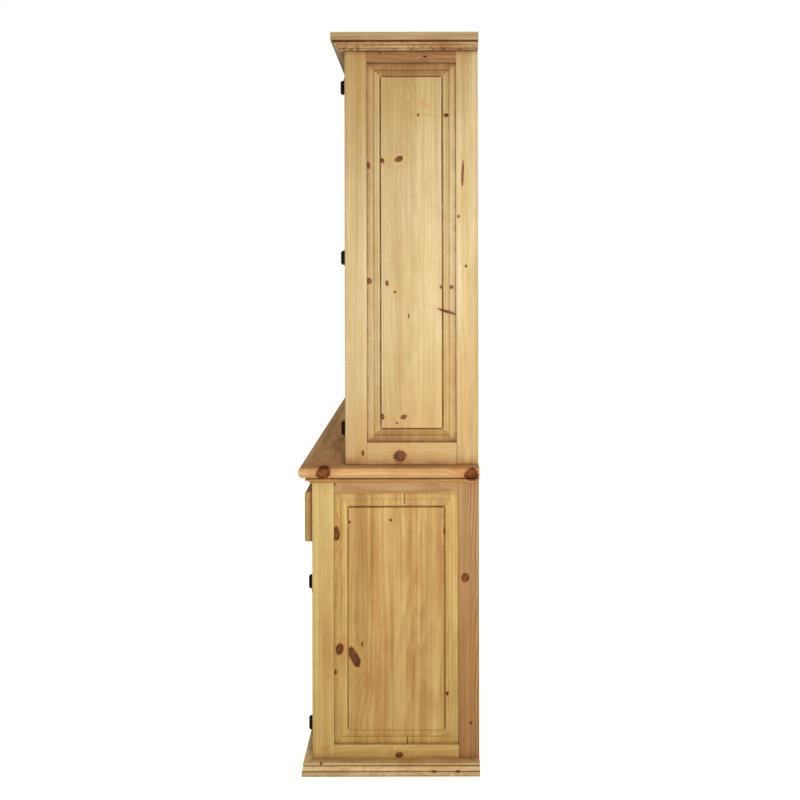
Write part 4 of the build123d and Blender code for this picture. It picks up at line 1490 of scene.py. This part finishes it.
@dataclass
class Smithy:
    """Softens the frame's ironwork as if it had been forged, and drives its screws and nails."""

    iron: bpy.types.Material
    nails: bpy.types.Material
    arris: float = 0.0006
    knob_arris: float = 0.0012
    shortest_arris: float = 0.0012
    sharpest_arris: float = 0.3
    shading_angle: float = math.radians(50)
    head_sides: int = 12
    head_rings: int = 6
    seed: int = 11

    def soften(self, node: str, body: str, arris: float | None = None) -> bpy.types.Object:
        """Replace an iron CAD node by one with hammered edges.

        Args:
            node: the CAD node.
            body: the body that it rides on.
            arris: how far its edges are rounded, or None for the usual width.

        Returns:
            The new piece.
        """
        whole = bmesh.new()
        for solid in closed_solids(node):
            part = merged(solid)
            ease(part, arris or self.arris, self.shortest_arris, self.sharpest_arris)
            loose = bpy.data.meshes.new("part")
            part.to_mesh(loose)
            part.free()
            whole.from_mesh(loose)
            bpy.data.meshes.remove(loose)
        mesh = bpy.data.meshes.new(node + "_forging")
        whole.to_mesh(mesh)
        whole.free()
        mesh.materials.append(self.iron)
        piece = shaded(new_object(node + "_forging", mesh), node + "_forged", self.shading_angle)
        return settle(piece, body, Slot.IRON, node)

    def soften_knob(self, body: str) -> bpy.types.Object:
        """Replace a door's or drawer's knob by one with broad hammered edges."""
        return self.soften(body + "_knob", body, self.knob_arris)

    def heads_tree(self) -> bpy.types.NodeTree:
        """The tree that sets a domed head on every point, facing along the point's aim.

        Returns:
            The tree, built at the first call.
        """
        name = "Driven heads"
        if name in bpy.data.node_groups:
            return bpy.data.node_groups[name]
        g, i, out = new_tree(
            name, "GeometryNodeTree",
            {
                "Points": bpy.types.Mesh, "Head radius": 0.003, "Head height": 0.0012, "Slot width": 0.0009,
                "Seed": self.seed, "Finish": bpy.types.Material,
            },
            {"Geometry": bpy.types.Mesh},
        )
        ball = g.fill(
            g.add("GeometryNodeMeshUVSphere"), Segments=self.head_sides, Rings=self.head_rings, Radius=1.0
        )
        crown = g.combine(i["Head radius"], i["Head radius"], i["Head height"])
        dome = g.fill(g.add("GeometryNodeTransform"), Geometry=ball.outputs["Mesh"], Scale=crown)
        length = g.times(i["Head radius"], 3.0)
        bar = g.add("GeometryNodeMeshCube")
        g.fill(bar, Size=g.combine(length, i["Slot width"], i["Head height"]))
        lifted = g.fill(
            g.add("GeometryNodeTransform"), Geometry=bar.outputs["Mesh"],
            Translation=g.combine(0.0, 0.0, g.times(i["Head height"], 1.1)),
        )
        cut = g.add("GeometryNodeMeshBoolean", operation="DIFFERENCE")
        g.fill(cut, Mesh_1=dome.outputs["Geometry"], Mesh_2=lifted.outputs["Geometry"])
        slotted = g.add("GeometryNodeSwitch", input_type="GEOMETRY")
        g.feed(slotted.inputs["Switch"], g.math("GREATER_THAN", i["Slot width"], 0.0))
        g.feed(slotted.inputs["False"], dome.outputs["Geometry"])
        g.feed(slotted.inputs["True"], cut.outputs["Mesh"])
        turn = g.add("FunctionNodeAlignRotationToVector", axis="Z")
        g.fill(turn, Vector=g.carried(Mark.AIM, "FLOAT_VECTOR"))
        placed = g.fill(
            g.add("GeometryNodeInstanceOnPoints"), Points=i["Points"], Instance=slotted.outputs["Output"],
            Rotation=turn.outputs["Rotation"],
        )
        spin = g.add("FunctionNodeRandomValue", data_type="FLOAT")
        limits = [s for s in spin.inputs if s.type == "VALUE"]
        for limit, value in zip(limits, (0.0, math.tau)):
            g.feed(limit, value)
        g.feed(next(s for s in spin.inputs if s.name == "Seed"), i["Seed"])
        angle = next(s for s in spin.outputs if s.type == "VALUE")
        spun = g.add("GeometryNodeRotateInstances")
        g.fill(spun, Instances=placed.outputs["Instances"], Rotation=g.combine(0.0, 0.0, angle))
        g.fill(out, Geometry=g.finished(spun.outputs["Instances"], i["Finish"]))
        return g.tree

    def drive(
        self, name: str, body: str, places: list[tuple[Vector, Vector]], radius: float, height: float,
        slot_width: float = 0.0,
    ) -> bpy.types.Object:
        """Set the heads of screws or nails on one body.

        Args:
            name: the new piece's name.
            body: the body that it rides on.
            places: where each head sits, and which way it faces.
            radius: the heads' radius.
            height: how far they stand up.
            slot_width: the width of a screw's slot, or 0 for nails.

        Returns:
            The new piece.
        """
        mesh = bpy.data.meshes.new(name + "_places")
        mesh.from_pydata([place for place, _ in places], [], [])
        stamp(mesh, Mark.AIM, "FLOAT_VECTOR", "POINT", [c for _, aim in places for c in aim])
        carrier = new_object(name + "_carrier", mesh)
        run_tree(carrier, self.heads_tree(), {
            "Head radius": radius, "Head height": height, "Slot width": slot_width, "Seed": self.seed,
            "Finish": self.nails,
        })
        return settle(baked(carrier, name), body, Slot.IRON)


def run_tree(carrier: bpy.types.Object, tree: bpy.types.NodeTree, values: dict[str, object]) -> None:
    """Put a Geometry Nodes tree on an object and set its inputs.

    Args:
        carrier: the object.
        tree: the tree.
        values: the inputs' values by name.
    """
    modifier = carrier.modifiers.new(tree.name, "NODES")
    modifier.node_group = tree
    for item in tree.interface.items_tree:
        if item.in_out == "INPUT" and item.name in values:
            modifier[item.identifier] = values[item.name]
    carrier.update_tag()


# ------------------------------------------------------------------------------------------ mouldings


@dataclass
class MouldingRun:
    """One moulding, run round the front and both sides of a case and mitred at the front corners."""

    node: str
    finish: bpy.types.Material
    shop: Woodshop
    ease: float = 0.0006
    pace: float = 0.018
    unevenness: float = 0.0004
    flat_back: float = 0.002
    weld: float = 1e-7
    seed: int = 3

    def tree(self) -> bpy.types.NodeTree:
        """The tree that runs a profile along straight lengths and mitres their ends.

        The profile's x is how far it stands out from the case and its y is its height. Each end of a length
        says which way is outward, and how far its mitre runs on for each metre of reach.

        Returns:
            The tree, built at the first call.
        """
        name = "Moulding run"
        if name in bpy.data.node_groups:
            return bpy.data.node_groups[name]
        g, i, out = new_tree(
            name, "GeometryNodeTree",
            {
                "Lengths": bpy.types.Mesh, "Profile": bpy.types.Object, "Ease": self.ease, "Pace": self.pace,
                "Unevenness": self.unevenness, "Seed": self.seed, "Finish": bpy.types.Material,
            },
            {"Geometry": bpy.types.Mesh},
        )

        def held(geometry: Socket, kind: str, value: Socket) -> tuple[Socket, Socket]:
            """Make a geometry carry a value.

            Args:
                geometry: the geometry.
                kind: FLOAT or VECTOR.
                value: the value.

            Returns:
                The geometry, and the value to read from it later.
            """
            node = g.add("GeometryNodeCaptureAttribute")
            node.capture_items.new(kind, "Value")
            g.fill(node, Geometry=geometry, Value=value)
            return node.outputs["Geometry"], node.outputs["Value"]

        path = g.fill(g.add("GeometryNodeMeshToCurve"), Mesh=i["Lengths"]).outputs["Curve"]
        path = g.fill(
            g.add("GeometryNodeResampleCurve", mode="LENGTH"), Curve=path, Length=i["Pace"]
        ).outputs["Curve"]
        spline = g.add("GeometryNodeSplineParameter").outputs
        spot = g.add("GeometryNodeInputPosition").outputs[0]
        way = g.add("GeometryNodeInputTangent").outputs[0]
        path, centre = held(path, "VECTOR", spot)
        path, tangent = held(path, "VECTOR", way)
        path, outward = held(path, "VECTOR", g.carried(Mark.OUTWARD, "FLOAT_VECTOR"))
        off_middle = g.math("ABSOLUTE", g.math("SUBTRACT", spline["Factor"], 0.5))
        at_end = g.math("GREATER_THAN", off_middle, 0.4999)
        path, mitre = held(path, "FLOAT", g.times(at_end, g.carried(Mark.MITRE, "FLOAT")))
        path, travelled = held(path, "FLOAT", g.plus(spline["Length"], g.carried(Mark.SHIFT, "FLOAT")))

        shape = g.fill(g.add("GeometryNodeObjectInfo"), Object=i["Profile"]).outputs["Geometry"]
        shape = g.fill(g.add("GeometryNodeMeshToCurve"), Mesh=shape).outputs["Curve"]
        rounded = g.add("GeometryNodeFilletCurve", mode="POLY")
        g.fill(rounded, Curve=shape, Radius=i["Ease"], Limit_Radius=True, Count=2)
        shape, drawn = held(rounded.outputs[0], "VECTOR", g.add("GeometryNodeInputPosition").outputs[0])

        swept = g.add("GeometryNodeCurveToMesh")
        g.fill(swept, Curve=path, Profile_Curve=shape, Fill_Caps=True)
        reach, rise, _ = g.split(drawn)
        wander = g.times(g.plus(travelled, i["Seed"]), 24.0)
        lump = g.noise(g.combine(wander, g.times(rise, 120.0), g.times(reach, 120.0)), 1.0, 2.0)
        lump = g.times(lump, i["Unevenness"], g.math("GREATER_THAN", reach, self.flat_back))
        level = g.math("SUBTRACT", reach, lump)
        spots = g.vector("ADD", centre, g.vector("SCALE", outward, level))
        spots = g.vector("ADD", spots, g.vector("SCALE", tangent, g.times(mitre, level)))
        spots = g.vector("ADD", spots, g.combine(0.0, 0.0, rise))
        placed = g.fill(
            g.add("GeometryNodeSetPosition"), Geometry=swept.outputs["Mesh"], Position=spots
        ).outputs["Geometry"]

        for mark, kind, value in (
            (Mark.BOARD, "FLOAT_VECTOR", g.combine(travelled, rise, reach)),
            (Mark.TONE, "FLOAT", g.carried(Mark.TONE, "FLOAT")),
        ):
            store = g.add("GeometryNodeStoreNamedAttribute", data_type=kind, domain="POINT")
            g.fill(store, Geometry=placed, Name=mark.value)
            g.feed(next(s for s in store.inputs if s.name == "Value" and s.enabled), value)
            placed = store.outputs["Geometry"]
        g.fill(out, Geometry=g.finished(placed, i["Finish"]))
        return g.tree

    def profile(self) -> tuple[bpy.types.Object, Vector, Vector]:
        """The moulding's section, read from the middle of its right-hand length.

        Returns:
            The section as a closed outline, and the lowest and highest corners of that length.
        """
        right = max(closed_solids(self.node), key=lambda solid: min(p.x for p in corners(solid)))
        low, high = box_of(corners(right))
        cut = section_loop(merged(right), (low + high) / 2, Vector((0, 1, 0)))
        loop = [(p.x - low.x, p.z, 0.0) for p in cut]
        section = bpy.data.meshes.new("section")
        section.from_pydata(loop, [(k, (k + 1) % len(loop)) for k in range(len(loop))], [])
        log.info("%s: section of %d points", self.node, len(loop))
        return new_object("section", section), low, high

    def lengths(self, low: Vector, high: Vector) -> bpy.types.Mesh:
        """The edges that the moulding runs along, at the foot of the case.

        Args:
            low: the lowest corner of the right-hand length.
            high: its highest corner.

        Returns:
            A mesh of three edges that carry their outward ways, mitres, shifts and tones.
        """
        half, back = low.x, high.y
        face = low.y + (high.x - low.x)
        left, right, front = Vector((-1, 0, 0)), Vector((1, 0, 0)), Vector((0, -1, 0))
        lengths = (
            (Vector((half, back, 0)), Vector((half, face, 0)), right, (0.0, 1.0)),
            (Vector((-half, back, 0)), Vector((-half, face, 0)), left, (0.0, 1.0)),
            (Vector((-half, face, 0)), Vector((half, face, 0)), front, (-1.0, 1.0)),
        )
        mesh = bpy.data.meshes.new(self.node + "_lengths")
        ends = [end for start, stop, *_ in lengths for end in (start, stop)]
        mesh.from_pydata(ends, [(2 * n, 2 * n + 1) for n in range(len(lengths))], [])
        outward = [c for *_, way, _ in lengths for c in 2 * tuple(way)]
        stamp(mesh, Mark.OUTWARD, "FLOAT_VECTOR", "POINT", outward)
        stamp(mesh, Mark.MITRE, "FLOAT", "POINT", [turn for *_, mitres in lengths for turn in mitres])
        for mark, draw in ((Mark.SHIFT, self.shop.shift), (Mark.TONE, self.shop.tone)):
            stamp(mesh, mark, "FLOAT", "POINT", [value for _ in lengths for value in 2 * (draw(),)])
        return mesh

    def build(self) -> bpy.types.Object:
        """Run the three lengths.

        Returns:
            The new piece.
        """
        section, low, high = self.profile()
        carrier = new_object(self.node + "_lengths", self.lengths(low, high))
        run_tree(carrier, self.tree(), {
            "Profile": section, "Ease": self.ease, "Pace": self.pace, "Unevenness": self.unevenness,
            "Seed": self.seed, "Finish": self.finish,
        })
        piece = baked(carrier, self.node + "_run")
        bpy.data.objects.remove(section)
        shell = bmesh.new()
        shell.from_mesh(piece.data)
        bmesh.ops.remove_doubles(shell, verts=shell.verts, dist=self.weld)
        bmesh.ops.recalc_face_normals(shell, faces=shell.faces)
        shell.to_mesh(piece.data)
        shell.free()
        caps = [float(len(polygon.vertices) > 4) for polygon in piece.data.polygons]
        stamp(piece.data, Mark.END, "FLOAT", "FACE", caps)
        piece = shaded(piece, self.node + "_worked", self.shop.shading_angle)
        return settle(piece, "case", Slot.MOULDING, self.node)


# ------------------------------------------------------------------------------------------ sub-assemblies


@dataclass
class Case:
    """One of the two cases: side frames, front frame, floor, and back boards with their nails."""

    tier: Tier
    frame_finish: bpy.types.Material
    panel_finish: bpy.types.Material
    inside_finish: bpy.types.Material
    side_joints: tuple[float, ...]
    post_tones: tuple[float, float]
    rail_tones: tuple[float, float]
    panel_tone: float
    panel_tone_spread: float = 0.08
    border_tone: float = 0.0
    nail_radius: float = 0.0028
    nail_height: float = 0.0007
    nail_edge: float = 0.018
    planed: float = 0.0008

    @property
    def name(self) -> str:
        """The name that the case's nodes start with."""
        return self.tier.value

    def post_tone(self, middle: Vector) -> float:
        """Front and back posts differ."""
        return self.post_tones[0 if middle.y < 0 else 1]

    def rail_tone(self, middle: Vector) -> float:
        """Bottom and top rails differ."""
        low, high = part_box(self.name + "_side_rails")
        return self.rail_tones[0 if middle.z < (low.z + high.z) / 2 else 1]

    def _side_tone(self, shop: Woodshop) -> Callable[[Vector], float]:
        """The tone of a side panel's staves, which differ a little."""
        spread = self.panel_tone_spread
        return lambda middle: self.panel_tone + shop.rng.uniform(-spread, spread)

    def build(self, shop: Woodshop, smithy: Smithy) -> None:
        """Dress the case's boards.

        Args:
            shop: the woodshop.
            smithy: the smithy, for the nails.
        """
        frame_board = (Slot.FRAME, self.frame_finish)
        shop.dress(self.name + "_corner_posts", "case", *frame_board, tone=self.post_tone)
        shop.dress(self.name + "_side_rails", "case", *frame_board, tone=self.rail_tone)
        for side in ("left", "right"):
            shop.dress(
                f"{self.name}_side_panel_{side}", "case", Slot.PANEL, self.panel_finish, Axis.Z,
                tone=self._side_tone(shop), joints=(Axis.Y, self.side_joints), border_tone=self.border_tone,
            )
        for part in ("face_rails", "face_mullions"):
            shop.dress(f"{self.name}_{part}", "case", *frame_board)
        inside_board = (Slot.BOARDS, self.inside_finish)
        shop.dress(self.name + "_floor_board", "case", *inside_board, Axis.X)
        shop.dress(self.name + "_back_boards", "case", *inside_board, planed=self.planed)
        self.nail_back(smithy)

    def nail_back(self, smithy: Smithy) -> None:
        """Nail the back boards to whatever crosses behind them.

        Args:
            smithy: the smithy.
        """
        low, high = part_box(self.name + "_back_boards")
        crossings = [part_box(self.name + "_floor_board")]
        crossings += [box_of(corners(solid)) for solid in closed_solids("shelves")]
        crossings.append(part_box("upper_top_board" if self.tier is Tier.UPPER else "drawer_runners"))
        rows = [(a.z + b.z) / 2 for a, b in crossings if low.z < (a.z + b.z) / 2 < high.z]
        places = []
        for solid in closed_solids(self.name + "_back_boards"):
            near, far = box_of(corners(solid))
            for row in rows:
                for x in (near.x + self.nail_edge, far.x - self.nail_edge):
                    places.append((Vector((x, high.y - self.planed, row)), Vector((0, 1, 0))))
        smithy.drive(self.name + "_back_nails", "case", places, self.nail_radius, self.nail_height)


@dataclass
class Fittings:
    """The inside boards that both cases share, and the counter."""

    inside_finish: bpy.types.Material
    counter_finish: bpy.types.Material
    counter_joints: tuple[float, ...] = (-0.10, 0.09)
    counter_strips: float = 0.062
    counter_tones: tuple[float, float] = (0.05, 0.25)

    def build(self, shop: Woodshop) -> None:
        """Dress the shelves, cleats, stops, runners, top board and counter.

        Args:
            shop: the woodshop.
        """
        for node in ("shelves", "upper_top_board", "shelf_cleats", "door_stops", "drawer_runners"):
            shop.dress(node, "case", Slot.BOARDS, self.inside_finish)
        shop.dress(
            "counter_top", "case", Slot.COUNTER, self.counter_finish,
            tone=lambda middle: shop.rng.uniform(*self.counter_tones), joints=(Axis.Y, self.counter_joints),
            strips=self.counter_strips,
        )


@dataclass
class Hinges:
    """The butterfly hinges: forged leaves, pins, and three slotted screws in each leaf."""

    screw_radius: float = 0.0037
    screw_height: float = 0.0015
    slot_width: float = 0.0011
    arris: float = 0.0003
    leaf_thickness: float = 0.0025
    knuckle_drop: float = 0.003
    near_reach: float = 0.0145
    far_reach: float = 0.0250
    far_rise: float = 0.0165

    def screws(self, node: str) -> list[tuple[Vector, Vector]]:
        """Where the screws of a node's leaves sit.

        Args:
            node: the CAD node of the leaves.

        Returns:
            The place of each screw and the way that it faces.
        """
        places = []
        for solid in closed_solids(node):
            points = corners(solid)
            low, high = box_of(points)
            plate = high.y - self.leaf_thickness
            knuckle, far = box_of([p for p in points if p.y < plate - self.knuckle_drop])
            pin = (knuckle.x + far.x) / 2
            way = 1.0 if high.x - pin > pin - low.x else -1.0
            middle = (low.z + high.z) / 2
            for reach, rise in ((self.near_reach, 0.0), (self.far_reach, 1.0), (self.far_reach, -1.0)):
                spot = Vector((pin + way * reach, plate, middle + rise * self.far_rise))
                places.append((spot, Vector((0, -1, 0))))
        return places

    def build(self, node: str, body: str, smithy: Smithy) -> None:
        """Forge a node's leaves and drive their screws.

        Args:
            node: the CAD node of the leaves.
            body: the body that they ride on.
            smithy: the smithy.
        """
        smithy.soften(node, body, self.arris)
        smithy.drive(
            node + "_screws", body, self.screws(node), self.screw_radius, self.screw_height, self.slot_width
        )


@dataclass
class Door:
    """One door of either case: its frame, its infill, its knob and its hinge leaves."""

    tier: Tier
    bay: Bay
    finish: bpy.types.Material
    glass: bpy.types.Material
    stave_shares: tuple[float, ...] = (0.36, 0.68)

    def build(self, shop: Woodshop, smithy: Smithy, hinges: Hinges) -> None:
        """Dress the door.

        Args:
            shop: the woodshop.
            smithy: the smithy.
            hinges: the hinges.
        """
        body = f"{self.tier.value}_door_{self.bay.value}"
        shop.dress(body + "_frame", body, Slot.FRAME, self.finish)
        if self.tier is Tier.UPPER:
            glaze(body + "_glass", self.glass)
        else:
            low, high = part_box(body + "_panel")
            joints = tuple(low.x + share * (high.x - low.x) for share in self.stave_shares)
            shop.dress(body + "_panel", body, Slot.PANEL, self.finish, Axis.Z, joints=(Axis.X, joints))
        smithy.soften_knob(body)
        hinges.build(body + "_hinge_leaves", body, smithy)


@dataclass
class Drawer:
    """One drawer: its front, its box and its knob."""

    bay: Bay
    finish: bpy.types.Material
    inside_finish: bpy.types.Material
    tone: float = 0.35

    def build(self, shop: Woodshop, smithy: Smithy) -> None:
        """Dress the drawer.

        Args:
            shop: the woodshop.
            smithy: the smithy.
        """
        body = "drawer_" + self.bay.value
        shop.dress(body + "_front", body, Slot.FRAME, self.finish, Axis.X, tone=lambda middle: self.tone)
        shop.dress(body + "_box", body, Slot.BOARDS, self.inside_finish)
        smithy.soften_knob(body)


def glaze(node: str, finish: bpy.types.Material) -> None:
    """Give a pane, which keeps its own mesh, its glass, and let light through it.

    Args:
        node: the CAD node.
        finish: its material.
    """
    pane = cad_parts[node]
    if not pane.material_slots:
        pane.data.materials.append(finish)
    for slot in pane.material_slots:
        slot.material = finish
    pane.visible_shadow = False
    log.info("%s: keeps its mesh, finished as %s", node, finish.name)


# ------------------------------------------------------------------------------------------ studio


@dataclass(frozen=True)
class Lamp:
    """A square soft box: where it stands, what it faces, its width, its power in watts and its colour."""

    name: str
    place: tuple[float, float, float]
    target: tuple[float, float, float]
    size: float
    power: float
    colour: Colour
    reflected: bool = True

    def build(self) -> None:
        """Hang the lamp."""
        data = bpy.data.lights.new(self.name, "AREA")
        data.size = self.size
        data.energy = self.power
        data.color = self.colour
        lamp = bpy.data.objects.new(self.name, data)
        lamp.location = Vector(self.place)
        lamp.rotation_mode = "QUATERNION"
        lamp.rotation_quaternion = (Vector(self.target) - lamp.location).to_track_quat("-Z", "Y")
        lamp.visible_glossy = self.reflected
        bpy.context.scene.collection.objects.link(lamp)


LAMPS = (
    Lamp("Key", (2.6, 0.3, 1.3), (0.7, 0.05, 1.2), 0.5, 33.0, (1.0, 0.985, 0.95)),
    Lamp("Front", (-2.7, -3.5, 1.9), (0.0, 0.0, 1.0), 2.2, 60.0, (1.0, 0.98, 0.95)),
    Lamp("Back", (-0.8, 3.8, 1.9), (0.0, 0.0, 1.0), 2.0, 60.0, WHITE),
    Lamp("Left", (-3.2, -0.4, 3.4), (-0.7, 0.0, 1.2), 1.6, 42.0, (1.0, 0.99, 0.97), reflected=False),
)


@dataclass
class Studio:
    """Pale floor, soft lights and the camera square to the cabinet's right side."""

    eye_x: float = 3.328
    eye_z: float = 1.372
    eye_behind_front: float = 0.3125
    lens_pixels: float = 945.0
    frame_pixels: float = 800.0
    sensor: float = 36.0
    square_pixel: tuple[float, float] = (425.0, 273.0)
    roll: float = math.radians(-0.12)
    nearest: float = 0.05
    floor_half: float = 14.0
    ambient: float = 0.24
    mirrored: float = 0.05

    def camera(self, front: float) -> None:
        """Make the camera.

        Args:
            front: the y of the lower case's front face.
        """
        data = bpy.data.cameras.new("Camera")
        data.sensor_width = self.sensor
        data.lens = self.lens_pixels / self.frame_pixels * self.sensor
        half = self.frame_pixels / 2
        data.shift_x = (half - self.square_pixel[0]) / self.frame_pixels
        data.shift_y = (self.square_pixel[1] - half) / self.frame_pixels
        data.clip_start = self.nearest
        camera = bpy.data.objects.new("Camera", data)
        camera.location = Vector((self.eye_x, front + self.eye_behind_front, self.eye_z))
        camera.rotation_mode = "QUATERNION"
        look = Vector((-1, 0, 0)).to_track_quat("-Z", "Y")
        camera.rotation_quaternion = look @ Matrix.Rotation(self.roll, 3, "Z").to_quaternion()
        bpy.context.scene.collection.objects.link(camera)
        bpy.context.scene.camera = camera

    def surroundings(self) -> None:
        """A white backdrop that gives the pieces a softer light than it shows the camera."""
        world = bpy.data.worlds.new("Surroundings")
        world.use_nodes = True
        g = Graph(world.node_tree)
        glossy = g.add("ShaderNodeLightPath").outputs["Is Glossy Ray"]
        seen = g.seen()
        unseen = g.plus(self.ambient, g.times(glossy, self.mirrored - self.ambient))
        strength = g.plus(seen, g.times(g.math("SUBTRACT", 1.0, seen), unseen))
        g.fill(world.node_tree.nodes["Background"], Color=WHITE, Strength=strength)
        bpy.context.scene.world = world

    def build(self, front: float) -> None:
        """Make the floor, the lights, the surroundings and the camera.

        Args:
            front: the y of the lower case's front face.
        """
        mesh = bpy.data.meshes.new("floor")
        half = self.floor_half
        corner_signs = ((-1, -1), (1, -1), (1, 1), (-1, 1))
        mesh.from_pydata([(half * x, half * y, 0.0) for x, y in corner_signs], [], [range(4)])
        mesh.materials.append(FloorFinish("studio_floor").build())
        new_object("floor", mesh)
        for lamp in LAMPS:
            lamp.build()
        self.surroundings()
        bpy.context.scene.view_settings.view_transform = "Standard"
        self.camera(front)


def main() -> None:
    """Build the cabinet and the studio, piece by piece."""
    logging.basicConfig(level=logging.INFO, format="%(message)s")
    palette = Palette(Effects())
    shop = Woodshop()
    smithy = Smithy(palette.iron, palette.nails)
    hinges = Hinges()
    Case(
        Tier.UPPER, palette.upper_frame, palette.upper_panel, palette.inside, side_joints=(0.0895,),
        post_tones=(0.28, 0.12), rail_tones=(0.15, 0.98), panel_tone=0.2,
    ).build(shop, smithy)
    Case(
        Tier.LOWER, palette.lower_frame, palette.lower_panel, palette.inside, side_joints=(0.055,),
        post_tones=(0.12, 0.97), rail_tones=(0.08, 0.82), panel_tone=0.35, border_tone=-0.25,
    ).build(shop, smithy)
    Fittings(palette.inside, palette.counter).build(shop)
    MouldingRun("cornice_moulding", palette.cornice, shop).build()
    MouldingRun("counter_moulding", palette.counter, shop).build()
    MouldingRun("plinth_moulding", palette.base, shop).build()
    smithy.soften("hinge_pins", "case")
    hinges.build("hinge_case_leaves", "case", smithy)
    for bay in Bay:
        for tier in Tier:
            Door(tier, bay, palette.doors, palette.glass).build(shop, smithy, hinges)
        Drawer(bay, palette.doors, palette.inside).build(shop, smithy)
    Studio().build(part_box("lower_face_rails")[0].y)


if __name__ == "__main__":
    main()
